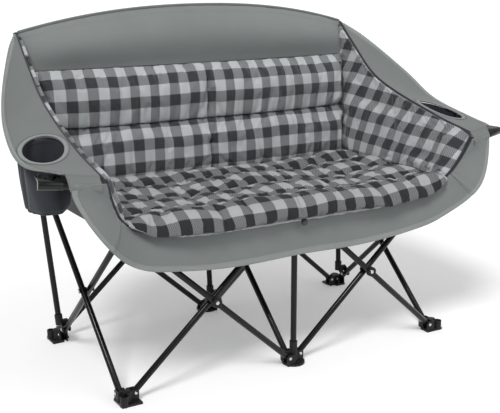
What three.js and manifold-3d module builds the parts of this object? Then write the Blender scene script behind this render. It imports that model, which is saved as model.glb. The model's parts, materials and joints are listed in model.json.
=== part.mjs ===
// Folding camping loveseat, open for use.
// Millimetres, +X to the sitter's left as seen from the front (right in the view), +Y to the back, +Z up.
// Six feet stand on Z = 0. Seven scissor pairs join six feet to six top hubs in two square bays.
import * as THREE from 'three';
import { mergeVertices } from 'three/addons/utils/BufferGeometryUtils.js';
import Module from 'manifold-3d';

const wasm = await Module();
wasm.setup();

// Driving dimensions of the frame
const bayPitch = 480;
const frameDepth = 480;
const pivotRise = 392;
const footPivotHeight = 22;
const hubInset = 22;
const backCornerHeight = 850;
const backCrownHeight = 912;

// Steel tube and its rivets
const tubeDiameter = 16;
const tubeWall = 1;
const tubeEndLap = 6;
const tubePlaneOffset = 9;
const rivetDiameter = 5.2;
const rivetHoleSlack = 0.4;
const rivetHeadLength = 1.6;

// Moulded feet and hubs
const cheekThickness = 3;
const cheekReach = 9;
const cheekChamferShare = 0.5;
const tubeSideSlack = 0.35;
const crossWallThickness = 6;
const crossWallGap = 0.8;
const basePlateThickness = 6;
const middleBaseRadius = 31;
const cornerBaseMargin = 1.5;
const cupOffset = 13;
const cupWall = 2.4;
const cupSlack = 0.6;
const cupRise = 5;
const postCollarTop = 62;
const postCollarWall = 1.8;
const postSeatHeight = 9;

// Rear sleeves that slide on the back posts
const middleSleeveOffset = 6;
const cornerSleeveOffset = 20;
const sleeveWall = 2.2;
const sleeveSideSlack = 2.2;
const sleeveSlotHalfLength = 4.2;
const sleeveHalfHeight = 10;

// Lower joints of the back posts
const postPinDistance = 36;
const postBottomHeight = 55;
const postSocketLength = 30;
const postSocketWall = 2.6;
const postSocketFloor = 3;
const postJointSlack = 0.9;
const postPinHoleSlack = 0.8;
const postJointWebSetback = 17;
const postJointWebRise = 14;
const postJointWebDepth = 8;
const postJointWebHeight = 18;

// Pivots where two tubes cross
const bossRadius = 13.5;
const bossThickness = 5;
const bossSaddleDepth = 5;
const washerRadius = 11;
const washerThickness = 3;
const smallWasherRadius = 6;
const spacerRadius = 8;
const runningGap = 0.3;

// Arm front: bent tube, clip for a stemmed glass, cup pouch
const armBendRadius = 24;
const armPostLapInCup = 16;
const clipSleeveLength = 54;
const clipWall = 2.6;
const clipSlack = 0.4;
const clipEndMargin = 3;
const clipPlateDepth = 42;
const clipPlateThickness = 5;
const clipSlotWidth = 11;
const clipSlotShare = 0.72;
const clipLipWidth = 5;
const clipLipHeight = 6;
const pouchTopRadius = 60;
const pouchBottomRadius = 48;
const pouchDepth = 128;
const pouchWall = 2;
const pouchMouthRadius = 48;

// Cloth and padding
const overhangReach = 240;
const clothThickness = 2.4;
const seatPadThickness = 17;
const seatPadLipThickness = 9;
const seatRollRadius = 24;
const seatSag = 12;
const backPadThickness = 36;
const wingPadThickness = 17;
const clothGap = 0.6;
const padLift = 1.8;
const battenDiameter = 6;
const snapRadius = 7;
const snapThickness = 2.6;

// Facets and overruns
const tubeSides = 8;
const pinSides = 6;
const castingSides = 12;
const baseSides = 16;
const cutOverrun = 2;
const weldDistance = 1e-4;

// Sizes worked out from the values above
const tubeRadius = tubeDiameter / 2;
const rivetRadius = rivetDiameter / 2;
const halfDepth = frameDepth / 2;
const hubHeight = footPivotHeight + pivotRise;
const backRise = backCornerHeight - hubHeight;
const cheekInner = tubeRadius + tubeSideSlack;
const cheekOuter = cheekInner + cheekThickness;
const tubeEndReach = Math.hypot(tubeEndLap, tubeRadius);
const crossWallOuter = hubInset - tubeEndReach - crossWallGap;
const crossWallInner = crossWallOuter - crossWallThickness;
const frontFace = halfDepth + tubePlaneOffset + cheekOuter + rivetHeadLength;
const hubTop = hubHeight + cheekReach + crossWallGap;
const slingLevel = hubTop + clothGap;
const padLevel = slingLevel + clothThickness + padLift;
const seatTop = padLevel + seatPadThickness;

const vec = (x, y, z) => new THREE.Vector3(x, y, z);
const up = vec(0, 0, 1);

// A place given as shares of the bay pitch, the half depth, and the rise from hub to back corner.
// Cloth that hangs over the front or rear keeps its own reach when the frame's depth changes.
const rowY = (share) => (Math.abs(share) > 1
  ? Math.sign(share) * (halfDepth + (Math.abs(share) - 1) * overhangReach)
  : share * halfDepth);
const place = ([x, y, z]) => vec(x * bayPitch, rowY(y), hubHeight + z * backRise);

const finish = {
  steel: new THREE.MeshStandardMaterial({ color: 0x17181a, roughness: 0.28, metalness: 0.6 }),
  plastic: new THREE.MeshStandardMaterial({ color: 0x232428, roughness: 0.5, metalness: 0 }),
  grey: new THREE.MeshStandardMaterial({ color: 0x7c8381, roughness: 0.9, metalness: 0 }),
  check: new THREE.MeshStandardMaterial({ color: 0x747779, roughness: 0.95, metalness: 0 }),
  charcoal: new THREE.MeshStandardMaterial({ color: 0x34363d, roughness: 0.85, metalness: 0 }),
  rod: new THREE.MeshStandardMaterial({ color: 0x8d9092, roughness: 0.6, metalness: 0 }),
};

// Solids

function toSolid(geometry) {
  const bare = geometry.index ? geometry.toNonIndexed() : geometry.clone();
  bare.deleteAttribute('normal');
  bare.deleteAttribute('uv');
  const merged = mergeVertices(bare, weldDistance);
  return new wasm.Manifold(new wasm.Mesh({
    numProp: 3,
    vertProperties: Float32Array.from(merged.attributes.position.array),
    triVerts: Uint32Array.from(merged.index.array),
  }));
}

function toGeometry(solid) {
  const mesh = solid.getMesh();
  const geometry = new THREE.BufferGeometry();
  geometry.setAttribute('position', new THREE.BufferAttribute(Float32Array.from(mesh.vertProperties), 3));
  geometry.setIndex(new THREE.BufferAttribute(Uint32Array.from(mesh.triVerts), 1));
  geometry.computeVertexNormals();
  return geometry;
}

const join = (...solids) => solids.reduce((whole, piece) => whole.add(piece));
const cut = (solid, ...tools) => tools.reduce((rest, tool) => rest.subtract(tool), solid);

function rod(from, to, radius, sides = tubeSides) {
  const along = to.clone().sub(from);
  const geometry = new THREE.CylinderGeometry(radius, radius, along.length(), sides);
  geometry.applyQuaternion(new THREE.Quaternion().setFromUnitVectors(vec(0, 1, 0), along.normalize()));
  const middle = from.clone().add(to).multiplyScalar(1 / 2);
  return toSolid(geometry.translate(middle.x, middle.y, middle.z));
}

function block(low, high) {
  const size = high.clone().sub(low);
  const middle = high.clone().add(low).multiplyScalar(1 / 2);
  const geometry = new THREE.BoxGeometry(size.x, size.y, size.z);
  return toSolid(geometry.translate(middle.x, middle.y, middle.z));
}

// A block that runs level from one point to another, with the same height all along
function bar(from, to, width, low, high) {
  const length = Math.hypot(to.x - from.x, to.y - from.y);
  const geometry = new THREE.BoxGeometry(length, width, high - low);
  geometry.rotateZ(Math.atan2(to.y - from.y, to.x - from.x));
  const middle = from.clone().add(to).multiplyScalar(1 / 2);
  return toSolid(geometry.translate(middle.x, middle.y, (low + high) / 2));
}

// An upright slot: two half cylinders joined by a block, long in Y
function slotShape(centre, radius, halfLength, low, high) {
  const end = (y) => rod(vec(centre.x, y, low), vec(centre.x, y, high), radius);
  const flat = radius * Math.cos(Math.PI / tubeSides);
  const between = block(
    vec(centre.x - flat, centre.y - halfLength, low),
    vec(centre.x + flat, centre.y + halfLength, high),
  );
  return join(end(centre.y - halfLength), end(centre.y + halfLength), between);
}

function normalsOf(rows) {
  return rows.map((row, i) => row.map((point, j) => {
    const before = rows[Math.max(i - 1, 0)][j];
    const after = rows[Math.min(i + 1, rows.length - 1)][j];
    const left = row[Math.max(j - 1, 0)];
    const right = row[Math.min(j + 1, row.length - 1)];
    return right.clone().sub(left).cross(after.clone().sub(before)).normalize();
  }));
}

// The same rows, moved along their normals
function raised(rows, distance) {
  const normals = normalsOf(rows);
  return rows.map((row, i) => row.map((point, j) => point.clone().addScaledVector(normals[i][j], distance)));
}

// A closed sheet from rows of points, thickened on the side that its normals point away from
function sheet(rows, thicknessAt) {
  const across = rows[0].length;
  const normals = normalsOf(rows);
  const positions = [];
  const face = rows.flat();
  const backFace = rows.map((row, i) => row.map((point, j) => {
    const thickness = typeof thicknessAt === 'function'
      ? thicknessAt(i / (rows.length - 1), j / (across - 1)) : thicknessAt;
    return point.clone().addScaledVector(normals[i][j], -thickness);
  })).flat();
  for (const point of [...face, ...backFace]) positions.push(point.x, point.y, point.z);
  const count = face.length;
  const at = (i, j) => i * across + j;
  const index = [];
  const quad = (a, b, c, d) => index.push(a, b, c, a, c, d);
  for (let i = 0; i + 1 < rows.length; i += 1) {
    for (let j = 0; j + 1 < across; j += 1) {
      quad(at(i, j), at(i, j + 1), at(i + 1, j + 1), at(i + 1, j));
      quad(count + at(i, j), count + at(i + 1, j), count + at(i + 1, j + 1), count + at(i, j + 1));
    }
  }
  const last = rows.length - 1;
  for (let j = 0; j + 1 < across; j += 1) {
    quad(at(0, j), count + at(0, j), count + at(0, j + 1), at(0, j + 1));
    quad(at(last, j + 1), count + at(last, j + 1), count + at(last, j), at(last, j));
  }
  for (let i = 0; i < last; i += 1) {
    quad(at(i + 1, 0), count + at(i + 1, 0), count + at(i, 0), at(i, 0));
    quad(at(i, across - 1), count + at(i, across - 1), count + at(i + 1, across - 1), at(i + 1, across - 1));
  }
  const geometry = new THREE.BufferGeometry();
  geometry.setAttribute('position', new THREE.Float32BufferAttribute(positions, 3));
  geometry.setIndex(index);
  return toSolid(geometry);
}

// A solid moved by a matrix; a matrix that mirrors also turns the faces round
function moved(solid, matrix) {
  const geometry = toGeometry(solid).applyMatrix4(matrix);
  if (matrix.determinant() < 0) {
    const index = geometry.index.array;
    for (let i = 0; i < index.length; i += 3) {
      [index[i + 1], index[i + 2]] = [index[i + 2], index[i + 1]];
    }
  }
  return toSolid(geometry);
}

const mirrored = (solid) => moved(solid, new THREE.Matrix4().makeScale(-1, 1, 1));

const loveseat = new THREE.Group();

function piece(name, solid, material, parent = loveseat) {
  const mesh = new THREE.Mesh(toGeometry(solid), material);
  mesh.name = name;
  parent.add(mesh);
  return mesh;
}

// Scissor pairs

const scissorRun = bayPitch - 2 * hubInset;
const sideRun = frameDepth - 2 * hubInset;
const through = tubeRadius + cutOverrun;

// A hollow tube along +X from its lower pivot to its upper one, drilled for three rivets
function crossTube(length) {
  const outer = rod(vec(-tubeEndLap, 0, 0), vec(length + tubeEndLap, 0, 0), tubeRadius);
  const bore = rod(
    vec(-tubeEndLap - cutOverrun, 0, 0),
    vec(length + tubeEndLap + cutOverrun, 0, 0),
    tubeRadius - tubeWall,
  );
  const holes = [0, length / 2, length].map((x) => (
    rod(vec(x, -through, 0), vec(x, through, 0), rivetRadius + rivetHoleSlack, pinSides)));
  return cut(outer, bore, ...holes);
}

// Boss on the front tube, spacer between the tubes and washer behind them, in one riveted piece
function crossPivot(boss) {
  const frontTubeFace = tubePlaneOffset + tubeRadius + runningGap;
  const radius = boss ? bossRadius : smallWasherRadius;
  const front = frontTubeFace + (boss ? bossThickness : washerThickness);
  const saddle = boss ? bossSaddleDepth : 0;
  const back = frontTubeFace + washerThickness;
  const spacerHalf = tubePlaneOffset - tubeRadius - runningGap;
  const head = rod(vec(0, -front, 0), vec(0, -frontTubeFace + saddle, 0), radius, castingSides);
  const frontTube = rod(
    vec(-radius * 2, -tubePlaneOffset, 0),
    vec(radius * 2, -tubePlaneOffset, 0),
    tubeRadius + runningGap,
  );
  const pin = rod(vec(0, -front, 0), vec(0, back, 0), rivetRadius, pinSides);
  const spacer = rod(vec(0, -spacerHalf, 0), vec(0, spacerHalf, 0), spacerRadius, castingSides);
  const washer = rod(
    vec(0, frontTubeFace, 0),
    vec(0, back, 0),
    boss ? washerRadius : smallWasherRadius,
    castingSides,
  );
  return join(cut(head, frontTube), pin, spacer, washer);
}

// One scissor: the rising tube runs behind, the falling tube in front, seen along the pair's own +Y
function scissor(names, centreX, centreY, heading, run, boss) {
  const length = Math.hypot(run, pivotRise);
  const slope = Math.atan2(pivotRise, run);
  const pair = new THREE.Group();
  pair.position.set(centreX, centreY, footPivotHeight);
  pair.rotation.z = heading;
  const tube = crossTube(length);
  const rising = piece(names.rising, tube, finish.steel, pair);
  rising.position.set(-run / 2, tubePlaneOffset, 0);
  rising.rotation.y = -slope;
  const falling = piece(names.falling, tube, finish.steel, pair);
  falling.position.set(-run / 2, -tubePlaneOffset, pivotRise);
  falling.rotation.y = slope;
  const pivot = piece(names.pivot, crossPivot(boss), finish.plastic, pair);
  pivot.position.set(0, 0, pivotRise / 2);
  pivot.rotation.y = slope;
  loveseat.add(pair);
}

for (const [side, sign] of [['left', -1], ['right', 1]]) {
  for (const [row, y] of [['front', -halfDepth], ['rear', halfDepth]]) {
    scissor({
      rising: `${row}_${side}_rising_tube`,
      falling: `${row}_${side}_falling_tube`,
      pivot: `${row}_${side}_cross_pivot`,
    }, sign * bayPitch / 2, y, 0, scissorRun, true);
  }
}
for (const [side, x] of [['left', -bayPitch], ['middle', 0], ['right', bayPitch]]) {
  scissor({
    rising: `${side}_side_rising_tube`,
    falling: `${side}_side_falling_tube`,
    pivot: `${side}_side_cross_pivot`,
  }, x, 0, Math.PI / 2, sideRun, false);
}

// Castings: feet below, hubs above. Each clevis faces along its heading.

function clevis(heading, lateral, pivotHeight, low) {
  const tip = hubInset + cheekReach;
  const top = pivotHeight + cheekReach;
  const chamfer = cheekReach * cheekChamferShare;
  const outline = new THREE.Shape([
    new THREE.Vector2(crossWallInner, low),
    new THREE.Vector2(tip - chamfer / 2, low),
    new THREE.Vector2(tip, low + chamfer / 2),
    new THREE.Vector2(tip, top - chamfer),
    new THREE.Vector2(tip - chamfer, top),
    new THREE.Vector2(crossWallInner, top),
  ]);
  const cheek = (y) => {
    const plate = new THREE.ExtrudeGeometry(outline, { depth: cheekThickness, bevelEnabled: false });
    return toSolid(plate.rotateX(Math.PI / 2).translate(0, y + cheekThickness, 0));
  };
  const wall = block(
    vec(crossWallInner, lateral - cheekInner - cheekThickness / 2, low),
    vec(crossWallOuter, lateral + cheekInner + cheekThickness / 2, top),
  );
  const rivet = rod(
    vec(hubInset, lateral - cheekOuter - rivetHeadLength, pivotHeight),
    vec(hubInset, lateral + cheekOuter + rivetHeadLength, pivotHeight),
    rivetRadius,
    pinSides,
  );
  const whole = join(cheek(lateral - cheekOuter), cheek(lateral + cheekInner), wall, rivet);
  return moved(whole, new THREE.Matrix4().makeRotationZ(heading));
}

const east = 0;
const north = Math.PI / 2;
const west = Math.PI;
const south = -Math.PI / 2;

// The headings of a corner's or a middle's clevises, and the diagonal that points away from the frame
function station(column, row) {
  const headings = [];
  if (column > -1) headings.push(west);
  if (column < 1) headings.push(east);
  headings.push(row < 0 ? north : south);
  return { headings, x: column * bayPitch, y: row * halfDepth, outX: column, outY: row };
}

const columnNames = { '-1': 'left', 0: 'middle', 1: 'right' };
const rowNames = { '-1': 'front', 1: 'rear' };
const stations = [-1, 1].flatMap((row) => [-1, 0, 1].map((column) => ({
  ...station(column, row), column, row, label: `${rowNames[row]}_${columnNames[column]}`,
})));

const cupRadius = tubeRadius + cupSlack + cupWall;
const coreRadius = crossWallOuter;

function foot(spot) {
  const ears = spot.headings.map((heading) => (
    clevis(heading, tubePlaneOffset, footPivotHeight, 0)));
  const core = rod(vec(0, 0, 0), vec(0, 0, footPivotHeight + cheekReach), coreRadius, castingSides);
  if (spot.column === 0) {
    const base = rod(vec(0, 0, 0), vec(0, 0, basePlateThickness), middleBaseRadius, baseSides);
    if (spot.row > 0) return join(core, base, ...ears);
    const collarRadius = tubeRadius + cupSlack + postCollarWall;
    const collar = rod(vec(0, 0, 0), vec(0, 0, postCollarTop), collarRadius, castingSides);
    const bore = rod(
      vec(0, 0, postSeatHeight - runningGap),
      vec(0, 0, postCollarTop + cutOverrun),
      tubeRadius + cupSlack,
      castingSides,
    );
    return cut(join(core, base, collar, ...ears), bore);
  }
  const cupAt = vec(spot.outX * cupOffset, spot.outY * cupOffset, 0);
  const cupTop = footPivotHeight + cupRise;
  const cup = rod(cupAt, vec(cupAt.x, cupAt.y, cupTop), cupRadius, castingSides);
  const bore = rod(
    vec(cupAt.x, cupAt.y, basePlateThickness),
    vec(cupAt.x, cupAt.y, cupTop + cutOverrun),
    tubeRadius + cupSlack,
    castingSides,
  );
  const inwardX = -spot.outX * (hubInset + cheekReach);
  const inwardY = -spot.outY * (hubInset + cheekReach);
  const outward = cupOffset + cupRadius - cornerBaseMargin;
  const plate = block(
    vec(Math.min(inwardX, spot.outX * outward), Math.min(inwardY, spot.outY * outward), 0),
    vec(Math.max(inwardX, spot.outX * outward), Math.max(inwardY, spot.outY * outward), basePlateThickness),
  );
  const inwardCorner = rod(
    vec(inwardX, inwardY, -cutOverrun),
    vec(inwardX, inwardY, basePlateThickness + cutOverrun),
    hubInset,
    castingSides,
  );
  const link = bar(vec(0, 0, 0), cupAt, cupRadius, 0, cupTop);
  return cut(join(core, cup, link, cut(plate, inwardCorner), ...ears), bore);
}

function topHub(spot) {
  const low = hubHeight - cheekReach;
  const high = hubHeight + cheekReach;
  const ears = spot.headings.map((heading) => clevis(heading, -tubePlaneOffset, hubHeight, low));
  const core = rod(vec(0, 0, low), vec(0, 0, high), coreRadius, castingSides);
  if (spot.row < 0) {
    const holderAt = vec(spot.outX * cupOffset, spot.column === 0 ? 0 : spot.outY * cupOffset, 0);
    const holder = rod(
      vec(holderAt.x, holderAt.y, low - cupRise),
      vec(holderAt.x, holderAt.y, high),
      cupRadius,
      castingSides,
    );
    const bore = rod(
      vec(holderAt.x, holderAt.y, low - cupRise - cutOverrun),
      vec(holderAt.x, holderAt.y, high + cutOverrun),
      tubeRadius + runningGap,
      castingSides,
    );
    if (spot.column === 0) {
      const roof = rod(vec(0, 0, high - cupWall), vec(0, 0, high), coreRadius, castingSides);
      return join(cut(join(core, holder, ...ears), bore), roof);
    }
    const link = bar(vec(0, 0, 0), holderAt, cupRadius, low, high);
    return cut(join(core, holder, link, ...ears), bore);
  }
  const sleeveAt = vec(
    spot.outX * cornerSleeveOffset,
    spot.column === 0 ? middleSleeveOffset : cornerSleeveOffset,
    0,
  );
  const boreRadius = tubeRadius + sleeveSideSlack;
  const sleeve = slotShape(
    sleeveAt, boreRadius + sleeveWall, sleeveSlotHalfLength,
    hubHeight - sleeveHalfHeight, hubHeight + sleeveHalfHeight,
  );
  const bore = slotShape(
    sleeveAt, boreRadius, sleeveSlotHalfLength,
    hubHeight - sleeveHalfHeight - cutOverrun, hubHeight + sleeveHalfHeight + cutOverrun,
  );
  if (spot.column === 0) return cut(join(core, sleeve, ...ears), bore);
  const link = bar(vec(0, 0, 0), sleeveAt, cupRadius, low, high);
  return cut(join(core, sleeve, link, ...ears), bore);
}

for (const spot of stations) {
  const base = piece(`${spot.label}_foot`, foot(spot), finish.plastic);
  base.position.set(spot.x, spot.y, 0);
  const hub = piece(`${spot.label}_top_hub`, topHub(spot), finish.plastic);
  hub.position.set(spot.x, spot.y, 0);
}

// Front post, fixed in the front middle hub and dropped into the front middle foot

function openTube(from, to) {
  const along = to.clone().sub(from).normalize().multiplyScalar(cutOverrun);
  return cut(
    rod(from, to, tubeRadius),
    rod(from.clone().sub(along), to.clone().add(along), tubeRadius - tubeWall),
  );
}

const frontPostTop = hubHeight + cheekReach - cupWall - runningGap;
piece(
  'front_middle_post',
  openTube(vec(0, -halfDepth, postSeatHeight), vec(0, -halfDepth, frontPostTop)),
  finish.steel,
);

// Back posts, each pinned through a lower joint to a falling side tube

const topCornerShares = [1.093, 1.305, 1];
const crownYShare = 1.2;
const sideSlope = Math.atan2(pivotRise, sideRun);
const pinY = halfDepth - hubInset - postPinDistance * Math.cos(sideSlope);
const pinZ = footPivotHeight + postPinDistance * Math.sin(sideSlope);

function postLine(column) {
  const tubeX = column * bayPitch + tubePlaneOffset;
  const sleeve = column === 0
    ? vec(0, halfDepth + middleSleeveOffset, hubHeight)
    : vec(column * (bayPitch + cornerSleeveOffset), halfDepth + cornerSleeveOffset, hubHeight);
  const corner = place(topCornerShares);
  const top = column === 0
    ? vec(0, crownYShare * halfDepth, backCrownHeight)
    : vec(column * corner.x, corner.y, corner.z);
  const along = top.clone().sub(sleeve);
  const atHeight = (z) => sleeve.clone().addScaledVector(along, (z - hubHeight) / along.z);
  return { tubeX, top, atHeight, bottom: atHeight(postBottomHeight), along: along.normalize() };
}

const jointInner = tubeRadius + postJointSlack;
const jointOuter = jointInner + cheekThickness;

function postJoint(line) {
  const { bottom, along, tubeX } = line;
  const socketLow = bottom.clone().addScaledVector(along, -postSocketFloor);
  const socketHigh = socketLow.clone().addScaledVector(along, postSocketLength);
  const socket = rod(socketLow, socketHigh, tubeRadius + runningGap + postSocketWall, castingSides);
  const bore = rod(
    bottom.clone().addScaledVector(along, -runningGap),
    socketHigh.clone().addScaledVector(along, cutOverrun),
    tubeRadius + runningGap,
    castingSides,
  );
  const webY = pinY + postJointWebSetback;
  const webZ = pinZ + postJointWebRise;
  const cheekAngle = Math.atan2(postJointWebRise, postJointWebSetback);
  const cheekLength = Math.hypot(postJointWebRise, postJointWebSetback);
  const cheek = (x) => {
    const turn = new THREE.Matrix4().makeRotationX(cheekAngle).setPosition(0, pinY, pinZ);
    const flat = block(vec(x, 0, -cheekReach), vec(x + cheekThickness, cheekLength, cheekReach));
    const plate = moved(flat, turn);
    const end = rod(vec(x, pinY, pinZ), vec(x + cheekThickness, pinY, pinZ), cheekReach, castingSides);
    return join(plate, end);
  };
  const web = block(
    vec(Math.min(tubeX - jointOuter, bottom.x), webY - postJointWebDepth / 2, webZ - postJointWebHeight / 2),
    vec(tubeX + jointOuter, webY + postJointWebDepth / 2, webZ + postJointWebHeight / 2),
  );
  const pin = rod(
    vec(tubeX - jointOuter - rivetHeadLength, pinY, pinZ),
    vec(tubeX + jointOuter + rivetHeadLength, pinY, pinZ),
    rivetRadius,
    pinSides,
  );
  return cut(join(socket, web, cheek(tubeX - jointOuter), cheek(tubeX + jointInner), pin), bore);
}

// The hole for a post joint's pin, through the falling side tube
function pinHole(line) {
  return rod(
    vec(line.tubeX - through, pinY, pinZ),
    vec(line.tubeX + through, pinY, pinZ),
    rivetRadius + postPinHoleSlack,
    pinSides,
  );
}

for (const column of [-1, 0, 1]) {
  const name = columnNames[column];
  const line = postLine(column);
  piece(`rear_${name}_post`, openTube(line.bottom, line.top), finish.steel);
  piece(`rear_${name}_post_joint`, postJoint(line), finish.plastic);
  const tube = loveseat.getObjectByName(`${name}_side_falling_tube`);
  tube.parent.updateWorldMatrix(true, true);
  const hole = moved(pinHole(line), tube.matrixWorld.clone().invert());
  tube.geometry = toGeometry(cut(crossTube(Math.hypot(sideRun, pivotRise)), hole));
}

// Arm posts: a bent tube from the front corner hub up to the arm front, then outward under the hem

const armElbowShares = [1.142, -1.2, 0.325];
const armBarEndShares = [1.412, -1.092, 0.352];

class RoundedElbow extends THREE.Curve {
  constructor(start, corner, end, radius) {
    super();
    const inward = start.clone().sub(corner).normalize();
    const onward = end.clone().sub(corner).normalize();
    const half = inward.angleTo(onward) / 2;
    const setback = radius / Math.tan(half);
    const path = new THREE.CurvePath();
    const from = corner.clone().addScaledVector(inward, setback);
    const to = corner.clone().addScaledVector(onward, setback);
    path.add(new THREE.LineCurve3(start, from));
    path.add(new THREE.QuadraticBezierCurve3(from, corner, to));
    path.add(new THREE.LineCurve3(to, end));
    this.path = path;
  }

  getPoint(t) {
    return this.path.getPoint(t);
  }
}

function sweep(curve, radius, steps) {
  const section = new THREE.Shape();
  section.absarc(0, 0, radius, 0, Math.PI * 2);
  return toSolid(new THREE.ExtrudeGeometry(section, {
    steps, extrudePath: curve, curveSegments: tubeSides / 2, bevelEnabled: false,
  }));
}

const armSteps = 12;
const armStart = vec(
  bayPitch + cupOffset,
  -halfDepth - cupOffset,
  hubHeight + cheekReach - armPostLapInCup,
);
const armElbow = place(armElbowShares);
const armBarEnd = place(armBarEndShares);
const armRiser = vec(armStart.x, armStart.y, hubHeight + cheekReach + armBendRadius);

class ArmPath extends THREE.Curve {
  constructor() {
    super();
    this.whole = new THREE.CurvePath();
    const elbow = new RoundedElbow(armRiser, armElbow, armBarEnd, armBendRadius);
    this.whole.add(new THREE.LineCurve3(armStart, armRiser));
    for (const part of elbow.path.curves) this.whole.add(part);
  }

  getPoint(t) {
    return this.whole.getPoint(t);
  }
}

const armPath = new ArmPath();
const armTube = sweep(armPath, tubeRadius, armSteps);

// Clip: a sleeve on the outer end of the arm bar, and a slotted plate behind it with two raised lips
const barAlong = armBarEnd.clone().sub(armElbow).normalize();
const barBack = up.clone().cross(barAlong).normalize();
const barUp = barAlong.clone().cross(barBack);
const clipOuterRadius = tubeRadius + clipSlack + clipWall;

function stemClip() {
  const sleeve = rod(vec(0, 0, 0), vec(clipSleeveLength, 0, 0), clipOuterRadius, castingSides);
  const plate = block(
    vec(0, 0, clipOuterRadius - clipPlateThickness),
    vec(clipSleeveLength, clipOuterRadius + clipPlateDepth, clipOuterRadius),
  );
  const bore = rod(
    vec(-cutOverrun, 0, 0),
    vec(clipSleeveLength - clipEndMargin, 0, 0),
    tubeRadius + clipSlack,
    castingSides,
  );
  const slotHalf = clipSlotWidth / 2;
  const slotEnd = clipOuterRadius + clipPlateDepth * (1 - clipSlotShare) + slotHalf;
  const plateBack = clipOuterRadius + clipPlateDepth;
  const cutLow = clipOuterRadius - clipPlateThickness - cutOverrun;
  const cutHigh = clipOuterRadius + clipLipHeight + cutOverrun;
  const middle = clipSleeveLength / 2;
  const slot = join(
    rod(vec(middle, slotEnd, cutLow), vec(middle, slotEnd, cutHigh), slotHalf, castingSides),
    block(vec(middle - slotHalf, slotEnd, cutLow), vec(middle + slotHalf, plateBack + cutOverrun, cutHigh)),
  );
  const lip = (x) => block(
    vec(x, plateBack - clipLipWidth * 2, clipOuterRadius - clipPlateThickness / 2),
    vec(x + clipLipWidth * 2, plateBack - clipLipWidth, clipOuterRadius + clipLipHeight),
  );
  const lipInset = slotHalf + clipLipWidth;
  const lips = join(lip(middle - lipInset - clipLipWidth * 2), lip(middle + lipInset));
  return cut(join(sleeve, plate, lips), bore, slot);
}

const clipBasis = new THREE.Matrix4().makeBasis(barAlong, barBack, barUp);
const clipStart = clipEndMargin + runningGap - clipSleeveLength;
clipBasis.setPosition(armBarEnd.clone().addScaledVector(barAlong, clipStart));
const clipSolid = moved(stemClip(), clipBasis);

// Cloth outlines, as shares of the frame, for the right side
const innerSeamShares = [[1.1, 1.258, 0.998], [1.103, 0.947, 0.844], [1.106, 0.482, 0.644],
  [1.13, -0.598, 0.447], [1.137, -1.2, 0.375]];
const outerEdgeShares = [[1.105, 1.3, 1.003], [1.184, 1.033, 0.916], [1.333, 0.409, 0.659],
  [1.386, 0.01, 0.503], [1.411, -0.639, 0.407], [1.32, -1.12, 0.402]];
const seatEdgeShares = [[1.035, 0.9, 0.045], [1.045, -0.2, 0.04], [1.03, -0.8, 0.045], [0.98, -1.13, 0.075]];
const apronInnerShares = [[0, -1.104, 0.01], [0.6, -1.104, 0.01], [0.96, -1.106, 0.02],
  [1.007, -1.125, 0.089], [1.045, -1.15, 0.135], [1.092, -1.215, 0.238], [1.125, -1.278, 0.352]];
const apronOuterShares = [[0, -1.13, -0.24], [0.406, -1.14, -0.244], [0.712, -1.195, -0.206],
  [0.95, -1.191, -0.154], [1.161, -1.365, 0.043], [1.281, -1.22, 0.294], [1.272, -1.21, 0.355]];

const curveThrough = (shares) => new THREE.CatmullRomCurve3(shares.map(place), false, 'centripetal');
const innerSeam = curveThrough(innerSeamShares);
const outerEdge = curveThrough(outerEdgeShares);
const seatEdge = curveThrough(seatEdgeShares);
const apronInner = curveThrough(apronInnerShares);
const apronOuter = curveThrough(apronOuterShares);

const spread = (count, make) => Array.from({ length: count + 1 }, (_, i) => make(i / count));
const blendPoints = (from, to, share) => from.clone().lerp(to, share);

// Wing: from the seat edge up to the inner seam, with its padding inside
const wingRows = 8;
const wingColumns = 3;

// Rows of points on the wing's outer face, between shares of its length and of its height
function wingRowsBetween(along, height) {
  return spread(wingRows, (i) => spread(wingColumns, (j) => {
    const share = along.from + i * (along.to - along.from);
    const seat = seatEdge.getPointAt(share);
    const seam = innerSeam.getPointAt(share);
    return blendPoints(seam, seat, height.from + j * (height.to - height.from));
  }));
}

const padMarginShare = 0.045;
const wholeWing = wingRowsBetween({ from: 0, to: 1 }, { from: 0, to: 1 });
const padPart = wingRowsBetween(
  { from: padMarginShare * 2, to: 1 - padMarginShare / 2 },
  { from: padMarginShare / 2, to: 1 - padMarginShare },
);
const wingShell = sheet(raised(wholeWing, clothThickness), clothThickness);
const wingPadReach = clothThickness + padLift + wingPadThickness;
const wingPad = sheet(raised(padPart, wingPadReach), wingPadThickness);

// Arm band: the flat cloth outside the inner seam, with the cup's mouth cut through it
const bandRows = 16;
const bandColumns = 3;
const bandStart = 0.03;
const bandBetween = (low, high) => spread(bandRows, (along) => spread(bandColumns, (across) => {
  const share = bandStart + along * (1 - bandStart);
  const inner = innerSeam.getPoint(share).add(vec(clothGap * 2, 0, clothGap * 2));
  return blendPoints(outerEdge.getPoint(share), inner, low + across * (high - low));
}));

// Cup pouch: a tapered cloth cup sewn under the band, so its mouth follows the band's slope
const pouchCentreShares = [1.265, -0.4, 0.4];
const mouthLengthShare = 1.42;
const pouchLengthShare = 1.28;
const mouthTurnDegrees = 14;
const mouthTurn = THREE.MathUtils.degToRad(mouthTurnDegrees);
const pouchMouth = place(pouchCentreShares);
const pouchOverlapShare = 0.3;
const pouchSeamGap = 1.8;

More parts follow.
